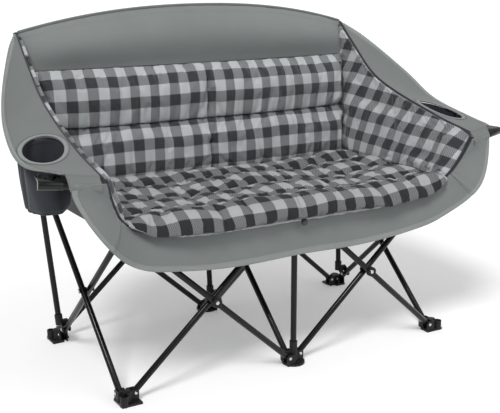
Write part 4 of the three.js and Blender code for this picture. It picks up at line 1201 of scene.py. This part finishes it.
# %% Arm bands: both sides
TAPE_OUT, TAPE_UP = 0.0035, 0.0006
TAPE_R, TAPE_FLAT = 0.0052, 0.55
TAPE_STITCH_OUT, TAPE_STITCH_UP = 0.0112, 0.0012
HEM_STITCH_UP = 0.0021
for name, sign in (("left", -1), ("right", 1)):
    calm = np.sin(math.pi * np.minimum(t_rows, 1))[:, None]
    wave = rippled(band_face * [sign, 1, 1], size=0.0016, scale=7.0, seed=8.0 + sign) * calm
    top = side_of(band_face + band_normal * (lift + wave)[..., None], sign)
    low = side_of(band_face + band_normal * (wave - BAND_CLOTH)[..., None], sign)
    slots = hem_slots if sign > 0 else hem_slots[:, ::-1]
    # The bands take the darker grey, which is painted shade.
    band = closed_sheet(f"{name}_arm_band_cloth", top, low, side_uv(band_uv, sign),
                        [ARM_GREY_SHADED, PALE_HEM], slots)
    cleaned(band)
    cut_mouth(band, sign)
    keep(band, f"{name}_arm_band")
    turns = np.linspace(0, 2 * math.pi, 96)[:-1]
    rim = on_lid(turns, TAPE_OUT, TAPE_UP) * [sign, 1, 1]
    tape = rope(rim, TAPE_R, closed=True, ups=[0, 0, 1], flat=TAPE_FLAT)
    bind = merged(f"{name}_mouth_binding", [tape], PALE_HEM)
    put_uv(bind, rope_uv(rim, TAPE_R))
    keep(bind, f"{name}_arm_band", covers=False)
    around = np.linspace(0, 2 * math.pi, 160)
    lines = [on_lid(around, TAPE_STITCH_OUT, TAPE_STITCH_UP) * [sign, 1, 1]]
    for part in (0.16, 0.92):
        lines.append([band_point(t, hem_share(t) * part) * [sign, 1, 1] + [0, 0, HEM_STITCH_UP]
                      for t in np.linspace(0.04, 0.99, 240)])
    thread = sewn(f"{name}_arm_thread", lines, [0, 0, 1], DARK_THREAD)
    keep(thread, f"{name}_arm_band", covers=False)

# %% [markdown]
# The cup pouch is a soft cup of dark cloth that hangs from the band. It is a lofted shell: a
# ring of cloth repeated downwards, with slow folds, a seam pulled in at the top and bottom,
# and a floor that sags.

# %% Cup pouches
POUCH_TOP = 0.059
POUCH_LOW = 0.05
POUCH_LONG = 1.27
POUCH_DEEP = 0.122
POUCH_WALL = 0.002
POUCH_ROUND = 0.064
SIDE_RINGS = 28
FLOOR_RINGS = 8
WIDE_FOLD, NARROW_FOLD = 0.0018, 0.0012
TUCK, TUCK_TURNS = 0.004, (-0.05, -0.42)
LOW_SEAM, TOP_SEAM = 0.0038, 0.002
SMALLEST = 0.0004
FOOT_ROUND = 0.006
SWING = 0.011
RIM_IN, RIM_UNDER = 0.002, 0.0042
FLOOR_SAG, FLOOR_RISE = 0.004, 0.002


def pouch_ring(s, floor_share, seed, turns):
    """A ring of the pouch's outer face at a share of its depth, and of the way in over its floor."""
    ring = []
    for a in turns:
        fold = WIDE_FOLD * math.sin(3 * a + 1.1 + seed) * (0.4 + 0.6 * s)
        fold += NARROW_FOLD * math.sin(7 * a + 4 * s + seed)
        fold -= sum(TUCK * near(math.sin((a - mid) / 2), 0, 0.045) for mid in TUCK_TURNS)
        pinch = LOW_SEAM * near(s, 0.93, 0.03) + TOP_SEAM * near(s, 0.04, 0.02)
        drawn_in = FOOT_ROUND * max(0, (s - 0.86) / 0.14) ** 2
        r = POUCH_TOP + (POUCH_LOW - POUCH_TOP) * s**2.6 - drawn_in + fold - pinch
        r = max(r * math.cos(floor_share * math.pi / 2), SMALLEST)
        x, y = oval(a, r, r * POUCH_LONG)
        y -= SWING * min(1, s * 1.5)
        top = lid_height(*oval(a, POUCH_TOP - RIM_IN, (POUCH_TOP - RIM_IN) * POUCH_LONG)) - RIM_UNDER
        sagged = FLOOR_SAG * max(0, (s - 0.9) * 10) ** 2 * (1 - floor_share) ** 2
        z = top + (MOUTH[2] - POUCH_DEEP - top) * s + sagged
        ring.append([x, y, z + FLOOR_RISE * math.sin(floor_share * math.pi)])
    return ring


turns = np.linspace(0, 2 * math.pi, 97)
levels = [(s, 0.0) for s in np.linspace(0, 1, SIDE_RINGS)]
levels += [(1.0, f) for f in np.linspace(0, 1, FLOOR_RINGS + 1)[1:]]
for name, sign in (("left", -1), ("right", 1)):
    outer = np.array([pouch_ring(s, f, 1.0 + sign, turns) for s, f in levels])
    middle = np.array([[MOUTH[0], MOUTH[1], p[2]] for row in outer for p in row]).reshape(outer.shape)
    inward = middle - outer
    inward = inward / np.maximum(np.linalg.norm(inward, axis=2, keepdims=True), 0.004)
    inner = outer + inward * POUCH_WALL
    inner[SIDE_RINGS - 1:, :, 2] += POUCH_WALL
    depths = [s * POUCH_DEEP + f * POUCH_LOW for s, f in levels]
    uv = np.stack(np.meshgrid(turns * POUCH_ROUND, depths), axis=2)
    outer, inner = outer * [sign, 1, 1], inner * [sign, 1, 1]
    pouch = cleaned(closed_sheet(f"{name}_pouch_cloth", outer, inner, uv, [CHARCOAL]))
    keep(pouch, f"{name}_cup_pouch")

# %% [markdown]
# One strip of cloth runs across the front from arm to arm and hides the hubs. Its free edge is
# hemmed, and a pleat on each side takes it round the corner. It is wide enough to belly out.

# %% Front band
APRON_WIDE = 0.115
APRON_HEM_OUT = 0.0013
APRON_END = 0.985
BELLY = 0.006
PLEAT = 0.61
PLEAT_LEAN = 0.02
PLEAT_DEEP, PLEAT_HIGH = 0.0024, 0.0016
PLEAT_WIDE, FOLD_BESIDE, FOLD_WIDE = 0.0055, 0.017, 0.01


def apron_point(s, k):
    """On the band at a share from the left arm (-1) to the right (1), and from its inner edge out."""
    t = abs(s) * APRON_END
    p = APRON_IN.by_knot(t) * (1 - k) + APRON_OUT.by_knot(t) * k
    belly = math.sin(math.pi * k) * BELLY * min(1, abs(s) * 1.5)
    return np.array([p[0] * (1 if s >= 0 else -1), p[1] - belly, p[2]])


half_shares = np.concatenate([np.linspace(0, 0.55, 30), np.linspace(0.56, 1, 72)])
shares = np.concatenate([-half_shares[:0:-1], half_shares])
k_cols = with_hem(14, HEM_WIDE, APRON_WIDE)
base = np.array([[apron_point(s, k) for k in k_cols] for s in shares])
normal = normals_of(base)
S, K = np.meshgrid(shares, k_cols, indexing="ij")
lift = np.array([hem_lift(k, HEM_WIDE, APRON_WIDE, APRON_HEM_OUT) for k in k_cols])
wave = rippled(base, size=0.0022, scale=6.0, seed=5.0) * np.sin(math.pi * np.minimum(1, K * 1.2))
wave += pucker(S * 0.9, K * APRON_WIDE, size=0.0022, wave=0.035, reach=0.022, seed=2.0)
valley = near(np.abs(S), PLEAT + PLEAT_LEAN * K, PLEAT_WIDE)
fold = near(np.abs(S), PLEAT + FOLD_BESIDE + PLEAT_LEAN * K, FOLD_WIDE)
crease = -PLEAT_DEEP * valley + PLEAT_HIGH * fold
face = base + normal * (lift + wave + crease)[..., None]
rear = base + normal * (wave - BAND_CLOTH)[..., None]
slots = np.zeros((len(shares) - 1, len(k_cols) - 1), int)
slots[:, -4:] = 1
apron = closed_sheet("front_apron_cloth", face, rear, uv_grid(base), [GREY, PALE_HEM], slots)
keep(apron, "front_apron")

# %% Front band: its stitches
APRON_STITCH_OUT, PLEAT_STITCH_OUT = 0.0022, 0.0016
PLEAT_STITCH_BESIDE = 0.008
lines = []
for part in (0.25, 0.92):
    row = 1 - part * HEM_WIDE / APRON_WIDE
    lines.append([apron_point(s, row) + [0, -APRON_STITCH_OUT, 0] for s in np.linspace(-0.99, 0.99, 420)])
for turn in (-1, 1):
    for d in (-PLEAT_STITCH_BESIDE, PLEAT_STITCH_BESIDE):
        lines.append([apron_point(turn * (PLEAT + d + PLEAT_LEAN * k), k) + [0, -PLEAT_STITCH_OUT, 0]
                      for k in np.linspace(0.03, 0.97, 40)])
apron_thread = sewn("front_apron_thread", lines, [0, -1, 0], THREAD)
keep(apron_thread, "front_apron", covers=False)
print(len(lines), "rows of stitches on the front band")

# %% [markdown]
# The pads are two cloths with wadding between, sewn through along their channels. Each pad's
# face starts as a grid that already swells between its seams. A short cloth simulation then
# blows it up a little, with its seams pinned and its cloth cut too large, so that it wrinkles
# as sewn cloth does. No point may move further than a limit, and the result is plain mesh.
# The seams' own small puckers and creases are added after it, because they are finer.

# %% Settling a pad's face
SETTLE_FRAMES = 16
PRESSURE = 3.0


def settle(name, grid, normal, pinned, swell, grow, limit=0.012):
    """Lets the face of a pad swell between its seams and wrinkle; a point moves no further than limit."""
    rows, cols = grid.shape[:2]
    start = grid + normal * swell[..., None]
    obj = new_object(name + "_sim", start.reshape(-1, 3), grid_faces(rows, cols), [PLAID])
    group = obj.vertex_groups.new(name="pin")
    for i, w in enumerate(pinned.ravel()):
        if w > 0:
            group.add([i], float(w), "REPLACE")
    mod = obj.modifiers.new("Cloth", "CLOTH")
    mod.settings.vertex_group_mass = "pin"
    mod.settings.quality = 5
    mod.settings.mass = 0.25
    mod.settings.use_pressure = True
    mod.settings.uniform_pressure_force = PRESSURE
    mod.settings.tension_stiffness = mod.settings.compression_stiffness = 12
    mod.settings.shear_stiffness = 4
    mod.settings.bending_stiffness = 0.12
    mod.settings.shrink_min = mod.settings.shrink_max = -grow
    mod.settings.air_damping = 6
    mod.settings.effector_weights.gravity = 0
    mod.collision_settings.use_collision = False
    mod.collision_settings.use_self_collision = False
    mod.point_cache.frame_start, mod.point_cache.frame_end = 1, SETTLE_FRAMES
    for f in range(1, SETTLE_FRAMES + 1):
        bpy.context.scene.frame_set(f)
    shown = obj.evaluated_get(bpy.context.evaluated_depsgraph_get())
    co = np.array([v.co for v in shown.data.vertices], float).reshape(rows, cols, 3)
    bpy.context.scene.frame_set(1)
    bpy.data.objects.remove(obj)
    moved = co - start
    moved *= np.minimum(1, limit / np.maximum(np.linalg.norm(moved, axis=2, keepdims=True), 1e-9))
    out = np.einsum("ijk,ijk->ij", moved, normal)
    moved += normal * (np.maximum(out, -swell * 0.5) - out)[..., None]
    print(name, "swelled by", round(float(out.max()) * 1000, 1), "mm at most")
    return start + moved


def pinned_rim(shape):
    """1 along the four edges of a grid, 0 inside."""
    pinned = np.zeros(shape)
    pinned[0, :] = pinned[-1, :] = pinned[:, 0] = pinned[:, -1] = 1
    return pinned


# %% Quilts and their trims
def padded_piece(name, node, face, rear, uv, material=PLAID):
    """A closed quilt in place of its node."""
    obj = keep(closed_sheet(name, face, rear, uv, [material]), node)


def trimmed(name, node, line, radius, material, sizes=None):
    """Piping or binding along an edge, which goes with its pad and replaces nothing."""
    obj = merged(name, [rope(line, radius, sides=10, sizes=sizes)], material)
    put_uv(obj, rope_uv(line, radius, sides=10))
    return keep(obj, node, covers=False)


# %% [markdown]
# The back pad is one quilt with a deep crease across it, and a seam up the middle, where its
# two halves are joined. Wadding slips down in use, so the upper half hangs a little over the
# crease. The small puckers beside each seam may not dig deeper than half the pad's swell.

# %% Back pad
SIDE = 0.965
CREASE = 0.53
BEHIND = 0.0006
PUFF, PUFF_LOW = 0.025, 0.004
OVERHANG = 0.015
OVERHANG_AT, OVERHANG_WIDE = CREASE + 0.05, 0.045
BACK_CHECK_AT = [0.02, 0.029]
BACK_GROW, BACK_FILL = 0.05, 0.75
PIPING_R, PIPING_OUT = 0.0019, 0.0046
across, up = np.linspace(-SIDE, SIDE, 221), np.linspace(-0.03, 1, 91)
grid = np.array([[back_point(a, s * pad_share(a), CLOTH + BEHIND) for a in across] for s in up])
normal = normals_of(grid)
A, S = np.meshgrid(across, up)
PAD_WIDE, PAD_HIGH = 0.5, 0.33
inside = 0.25 + 0.75 * puffs(A, [-SIDE, SIDE], 0.06)
swell = PUFF_LOW + PUFF * puffs(S, [-0.03, CREASE, 1], 0.15) * inside
swell *= 1 - 0.3 * near(A, 0, 0.01)
pinned = pinned_rim(A.shape)
pinned = np.maximum(pinned, 0.995 * near(S, CREASE, 0.012))
pinned = np.maximum(pinned, 0.6 * near(A, 0, 0.006))
face = settle("back_pad", grid, normal, pinned, swell, BACK_GROW)
wide, high = A * PAD_WIDE, S * PAD_HIGH
fine = pucker(wide, (S - CREASE) * PAD_HIGH, size=0.007, wave=0.028, reach=0.035, seed=1.0)
fine += pucker(wide, (S - 1) * PAD_HIGH, size=0.005, wave=0.03, reach=0.03, seed=2.0)
fine += pucker(wide, high, size=0.006, wave=0.034, reach=0.04, seed=3.0)
fine += pucker(high, wide, size=0.004, wave=0.022, reach=0.025, seed=4.0)
fine += (creased(grid, size=0.006, scale=6.5, stretch=(2.8, 1, 0.7), seed=8.0)
         + rippled(grid, size=0.0035, scale=8.0, seed=6.0))
fine *= 1 - pinned_rim(A.shape)
face = face + normal * np.maximum(fine, -0.5 * swell)[..., None]
face[..., 2] -= OVERHANG * near(S, OVERHANG_AT, OVERHANG_WIDE) * (1 - A**8)
padded_piece("back_pad_quilt", "back_pad", face, grid, uv_grid(grid) + BACK_CHECK_AT)
top_line = [back_point(a, pad_share(a), CLOTH + PIPING_OUT) for a in np.linspace(-SIDE, SIDE, 120)]
trimmed("back_pad_piping", "back_pad", top_line, PIPING_R, PIPING)

# %% [markdown]
# The wings' quilts are thinner and unsewn but for their rims, so they only billow. Each is cut
# with its check a few degrees off level, more along the arm than beside the seat. A dark
# piping closes the seam along the arm, and another the edge at the front.

# %% Wing pads
WING_LOW, WING_PUFF = 0.004, 0.015
WING_BEHIND = 0.0008
SEAM_PIPING, FRONT_PIPING = 0.0021, 0.002
SEAM_PIPING_UP, FRONT_PIPING_IN = 0.0016, 0.005
WING_GROW, WING_LIMIT, WING_FILL = 0.06, 0.01, 0.6
t_rows, k_cols = np.linspace(0.0, 0.987, 131), np.linspace(0.012, 1.03, 75)
wing_base = wing_grid(t_rows, k_cols)
wing_normal = normals_of(wing_base)
T, K = np.meshgrid(t_rows, k_cols, indexing="ij")
WING_LONG, WING_HIGH = 0.62, 0.24
for name, sign in (("left", -1), ("right", 1)):
    swell = WING_LOW + WING_PUFF * puffs(T, [0, 1], 0.1) * puffs(K, [0, 1.04], 0.2)
    swell *= 1 - 0.55 * smooth_step((T - TURN_OUT) / (1 - TURN_OUT))
    low = wing_base + wing_normal * (CLOTH + WING_BEHIND)
    grow = WING_GROW + 0.004 * sign
    face = settle(name + "_wing", low, wing_normal, pinned_rim(T.shape), swell, grow, limit=WING_LIMIT)
    long, high = T * WING_LONG, K * WING_HIGH
    fine = pucker(long, high, size=0.005, wave=0.03, reach=0.03, seed=11.0 + sign)
    fine += pucker(long, (K - 1) * WING_HIGH, size=0.005, wave=0.03, reach=0.04, seed=14.0 + sign)
    fine += pucker(high, long, size=0.006, wave=0.03, reach=0.07, seed=17.0 + sign)
    folds = creased(low * [sign, 1, 1], size=0.003, scale=9.0, stretch=(1, 1.4, 0.8), seed=2.0)
    fine += folds * near(T, 0.12, 0.14)
    face = face + wing_normal * (fine * (1 - pinned_rim(T.shape)))[..., None]
    tilt = np.radians(5 * K - 7)
    uv = np.stack([-low[..., 1] * np.cos(tilt) + low[..., 2] * np.sin(tilt),
                   low[..., 2] * np.cos(tilt) + low[..., 1] * np.sin(tilt)], axis=2)
    padded_piece(f"{name}_wing_quilt", f"{name}_wing_pad", side_of(face, sign), side_of(low, sign),
                 side_uv(uv, sign))
    seam_line = [(SEAM.by_length(t) + [0, 0, SEAM_PIPING_UP]) * [sign, 1, 1]
                 for t in np.linspace(0.002, 1, 160)]
    trimmed(f"{name}_seam_piping", f"{name}_wing_shell", seam_line, SEAM_PIPING, PIPING)
    front_line = wing_base[-1] + wing_normal[-1] * FRONT_PIPING_IN + [0, -FRONT_PIPING, 0]
    front_line = front_line * [sign, 1, 1]
    trimmed(f"{name}_front_piping", f"{name}_wing_shell", front_line, FRONT_PIPING, PIPING)

# %% [markdown]
# The seat is a sling of coated cloth between the hubs, and a quilted pad on it that rolls over
# the front edge to a light binding. The sling sags in each bay, between the hubs that hold it.

# %% Seat sling
SEAT_TOP = 0.4456
FRONT_FACE = 0.26195
LIP_Y = -0.28315
PAD_HALF = 1.03 * PITCH
PAD_REAR = 0.83 * HALF
ROLL = 0.024
ROLL_LONG = 0.062
ROLL_DEEP = 0.036
PAD_THICK = 0.017
SAG = 0.012
SLING_NARROW, PAD_NARROW = 0.085, 0.045


def sag(x, y):
    """How far the sling hangs down at a spot, most in the middle of each bay."""
    return SAG * math.sin(math.pi * x / PITCH) ** 2 * max(math.cos(math.pi * y / (2 * HALF)), 0)


def narrowed(y, share):
    """The width left at y, as a share: the cloth draws in towards the front."""
    return 1 - share * max(y / LIP_Y, 0) ** 4


sling_front = -FRONT_FACE + CLOTH
sling_ys = np.linspace(sling_front, 0.86 * HALF, 41)
sling_face = np.array([[xyz(a * PITCH * narrowed(y, SLING_NARROW), y, SLING_Z + CLOTH - sag(a * PITCH, y))
                        for a in np.linspace(-1.03, 1.03, 81)] for y in sling_ys])
sling_low = sling_face - [0, 0, BAND_CLOTH]
sling = closed_sheet("seat_sling_cloth", sling_face, sling_low, uv_grid(sling_face), [GREY_BACK])
keep(sling, "seat_sling")

# %% [markdown]
# The pad's face is built in columns from the back edge to the lip: a flat run, a quarter of an
# oval over the front edge, and a short drop to the binding. Three seams cross it, and they
# wander a little. Cloth that is sat on creases, so the check wanders here more than anywhere
# else, and its squares are longer over the front roll, where the cloth is pulled.

# %% Seat pad: its shape
LIP_LOW = 0.404
LIP_RISE = 0.049
LIP_REACH = 0.475
EDGE_RAISED, CORNER_RAISED = 0.006, 0.014


def seat_column(x):
    """The pad's top face on one column, from the back edge over the front roll to the lip."""
    edge = abs(x / PAD_HALF) ** 4
    long = ROLL_LONG * (1 - 0.6 * edge)
    centre_y = LIP_Y + long
    out = []
    for s in np.linspace(0, 1, 72):
        y = PAD_REAR + (centre_y - PAD_REAR) * s
        raised = (EDGE_RAISED + CORNER_RAISED * min(max(y / LIP_Y, 0), 1) ** 3) * abs(x / PAD_HALF) ** 8
        out.append([x * narrowed(y, PAD_NARROW), y, SEAT_TOP - sag(x, y) + raised])
    front_x = x * narrowed(LIP_Y, PAD_NARROW)
    crest = out[-1][2]
    low = LIP_LOW + LIP_RISE * abs(front_x / LIP_REACH) ** 6
    deep = min(ROLL_DEEP, 0.86 * max(crest - low, 0.004))
    for angle in np.linspace(0, math.pi / 2, 16)[1:]:
        out.append([front_x, centre_y - long * math.sin(angle), crest - deep * (1 - math.cos(angle))])
    start = out[-1][2]
    for s in np.linspace(0, 1, 6)[1:]:
        out.append([front_x, LIP_Y, start + (min(low, start - 0.001) - start) * s])
    return [xyz(*p) for p in out]


# %% Seat pad: its quilting
SEAMS = np.array([-0.105, 0.04, 0.19])
QUILT_PUFF = 0.021
LIP_THINNER, UNDER_GAP = 0.008, 0.0008
SEAT_GROW, SEAT_FILL = 0.07, 0.5
columns = np.linspace(-1, 1, 221)
cad_face = np.array([seat_column(a * PAD_HALF) for a in columns])
normal = normals_of(cad_face)
Y = -(cad_face[..., 1] - SHIFT)
X = cad_face[..., 0]
A, S = np.meshgrid(columns, np.linspace(0, 1, cad_face.shape[1]), indexing="ij")
thick = PAD_THICK - LIP_THINNER * np.clip((S - 0.7) / 0.3, 0, 1)
thick = thick * (1 - 0.5 * np.abs(A) ** 4) - UNDER_GAP
floor_face = cad_face - normal * thick[..., None]
wander = rippled(cad_face * [1, 0, 1], size=0.014, scale=3.0, octaves=2, seed=21.0)
off_seam = np.min(np.abs((Y + wander)[..., None] - SEAMS), axis=-1)
rim = puffs(S, [1], 0.06) * puffs(A, [-1, 1], 0.05)
swell = thick * 0.22 + QUILT_PUFF * rim * (0.1 + 0.9 * puffs(off_seam, [0], 0.06)) * (1 - 0.5 * A**8)
pinned = np.maximum(pinned_rim(A.shape), 0.99 * near(off_seam, 0, 0.003))
face = settle("seat_pad", floor_face, normal, pinned, swell, SEAT_GROW)
fine = pucker(X, off_seam, size=0.009, wave=0.032, reach=0.035, seed=31.0)
fine += creased(cad_face, size=0.006, scale=6.0, stretch=(1.0, 2.4, 1.0), seed=33.0) * rim
fine += rippled(cad_face, size=0.008, scale=7.0, octaves=2, seed=35.0) * rim
fine += pucker(X, (1 - S) * 0.55, size=0.006, wave=0.03, reach=0.03, seed=37.0)
fine *= 1 - pinned_rim(A.shape)
face = face + normal * np.maximum(fine, -0.6 * swell)[..., None]

# %% Seat pad: its check and binding
FLAT_CHECK, ROLL_CHECK = 0.78, 1.15
CHECK_OVER, CHECK_DOWN = 0.01, 0.0336
BINDING_R, BINDING_SWAY = 0.0042, 0.0022
HIDDEN_FROM, HIDDEN_OVER, HIDDEN_IN = 0.258, 0.03, 0.014
uv = uv_grid(cad_face)[..., ::-1] + [CHECK_OVER, 0]
flat_run = PAD_REAR - LIP_Y - ROLL_LONG
walk = uv[..., 1] - uv[:, :1, 1]
rolled = np.maximum(walk - flat_run, 0)
uv[..., 1] = FLAT_CHECK * np.minimum(walk, flat_run) + ROLL_CHECK * rolled + CHECK_DOWN
uv[..., 0] += rippled(cad_face, size=0.006, scale=7.0, octaves=2, seed=41.0)
uv[..., 1] += rippled(cad_face, size=0.005, scale=7.0, octaves=2, seed=43.0)
# The seat pad takes the darker check, which is painted shade.
padded_piece("seat_pad_quilt", "seat_pad", face, floor_face, uv, SHADED_PLAID)
edge_line = np.concatenate([face[0], face[1:, -1], face[-1, -2::-1]])
places = np.arange(len(edge_line))
sway = np.array([[noise.noise(Vector((i / 7.0, k * 5.0, 3.0))) for k in range(3)] for i in places])
sizes = np.array([1 + 0.35 * noise.noise(Vector((i / 3.0, 8.0, 1.0))) for i in places])
hidden = np.clip((edge_line[:, 1] - SHIFT + HIDDEN_FROM) / HIDDEN_OVER, 0, 1)
edge_line[:, 0] *= 1 - HIDDEN_IN * hidden
edge_line = edge_line + sway * BINDING_SWAY
trimmed("seat_pad_binding", "seat_pad", edge_line, BINDING_R, LIGHT_BIND, sizes=sizes)
binding_long = np.linalg.norm(np.diff(edge_line, axis=0), axis=1).sum()
print("the pad's binding is", round(float(binding_long), 3), "m long")

# %% [markdown]
# A domed snap at the middle of the front holds the pad down: a cap inside a rolled ring.

# %% Snap
CAP_R, CAP_DOME, SNAP_RING = 0.0075, 0.0052, 0.0092
CAP_OUT, RING_OUT = 0.0003, 0.0006
SNAP_DOWN = 0.055 * BACK_RISE
snap_at = xyz(0, LIP_Y - CAP_OUT, SEAT_TOP - ROLL - SNAP_DOWN)
dome = facing(snap_at, (0, -1, 0), CAP_R, CAP_DOME)
rolled_ring = facing(snap_at + [0, -RING_OUT, 0], (0, -1, 0), SNAP_RING, SNAP_RING)
keep(joined("seat_snap_cap", [(HEAD, dome, 0), (RING, rolled_ring, 0)], [SNAP]), "seat_snap")
print("snap", round(float(LIP_Y - snap_at[1] + SHIFT) * 1000, 2), "mm in front of the lip")

# %% [markdown]

# %% [markdown]
# When the frame folds, its rows close up in both directions and the cloth crumples between
# them. Each soft piece is given a copy of its mesh as its own.

# %% Soft pieces' own meshes
SIDE_NAMES = ("wing", "arm_band", "arm_thread", "mouth", "seam_piping", "front_piping")
for obj in made:
    name = obj.name
    sign = -1 if name.startswith("left") else 1
    if any(part in name for part in SIDE_NAMES):
        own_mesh(obj)
    elif name.startswith(("back_", "top_")):
        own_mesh(obj)
    elif name.startswith("front_apron"):
        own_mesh(obj)
    elif name.startswith("seat_") and "snap" not in name:
        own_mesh(obj)

# %% [markdown]
# The studio: a pale floor that shows white to the camera and keeps the loveseat's shadow, an
# even sky, a broad key light from the front left and a weaker one from the right. The camera
# stands where the photograph's did, solved from the frame's feet, hubs and posts.

# %% Floor
FLOOR_TONE = 0.9
FLOOR_GLOW = 0.2
FLOOR_SIZE = 120


def floor_material():
    m = bpy.data.materials.new("pale_floor")
    m.use_nodes = True
    m.node_tree.nodes.clear()
    n = Nodes(m.node_tree)
    out = n.add("ShaderNodeOutputMaterial")
    matt = n.add("ShaderNodeBsdfDiffuse")
    matt.inputs[0].default_value = (FLOOR_TONE, FLOOR_TONE, FLOOR_TONE, 1)
    glow = n.add("ShaderNodeEmission")
    seen = n.add("ShaderNodeLightPath")
    both = n.math("MAXIMUM", seen.outputs["Is Camera Ray"], seen.outputs["Is Glossy Ray"])
    n.link(n.math("MULTIPLY", both, FLOOR_GLOW), glow.inputs["Strength"])
    total = n.add("ShaderNodeAddShader", inputs={0: matt.outputs[0], 1: glow.outputs[0]})
    n.link(total.outputs[0], out.inputs[0])
    return m


nothing_selected()
bpy.ops.mesh.primitive_plane_add(size=FLOOR_SIZE, location=(0, 20, -0.0002))
floor = bpy.context.active_object
floor.name = "floor"
floor.data.materials.append(floor_material())

# %% Sky and lights
SKY_LIGHT, SKY_SEEN = 0.45, 0.55
world = bpy.data.worlds.new("studio")
bpy.context.scene.world = world
world.use_nodes = True
world.node_tree.nodes.clear()
n = Nodes(world.node_tree)
out = n.add("ShaderNodeOutputWorld")
seen = n.add("ShaderNodeLightPath")
sky = n.add("ShaderNodeBackground")
sky.inputs[0].default_value = (1, 1, 1, 1)
n.link(n.math("MULTIPLY_ADD", seen.outputs["Is Camera Ray"], SKY_SEEN, SKY_LIGHT), sky.inputs["Strength"])
n.link(sky.outputs[0], out.inputs[0])


def sun(name, energy, angle, azimuth, elevation):
    """A wide sun, placed by how far round from the front it stands and how high."""
    lamp = bpy.data.lights.new(name, "SUN")
    lamp.energy = energy
    lamp.angle = math.radians(angle)
    obj = bpy.data.objects.new(name, lamp)
    a, e = math.radians(azimuth), math.radians(elevation)
    toward = Vector((math.sin(a) * math.cos(e), -math.cos(a) * math.cos(e), math.sin(e)))
    obj.rotation_euler = toward.to_track_quat("Z", "Y").to_euler()
    bpy.context.scene.collection.objects.link(obj)


sun("key", energy=1.85, angle=18, azimuth=-50, elevation=52)
sun("fill", energy=0.5, angle=50, azimuth=30, elevation=40)
print(len(bpy.data.lights), "suns and an even sky")

# %% Camera
CAMERA_DOWN, CAMERA_LEFT = 14.165, 31.10
lens = bpy.data.cameras.new("photo_camera")
lens.lens = 70.04
lens.sensor_width = 36
camera = bpy.data.objects.new("photo_camera", lens)
camera.location = (-1.3430, -2.2441 + SHIFT, 1.0360)
camera.rotation_euler = (math.radians(90 - CAMERA_DOWN), 0, math.radians(-CAMERA_LEFT))
bpy.context.scene.collection.objects.link(camera)
bpy.context.scene.camera = camera
bpy.context.scene.view_settings.view_transform = "Standard"
print("the camera stands", round(camera.location.length, 2), "m from the middle of the floor")
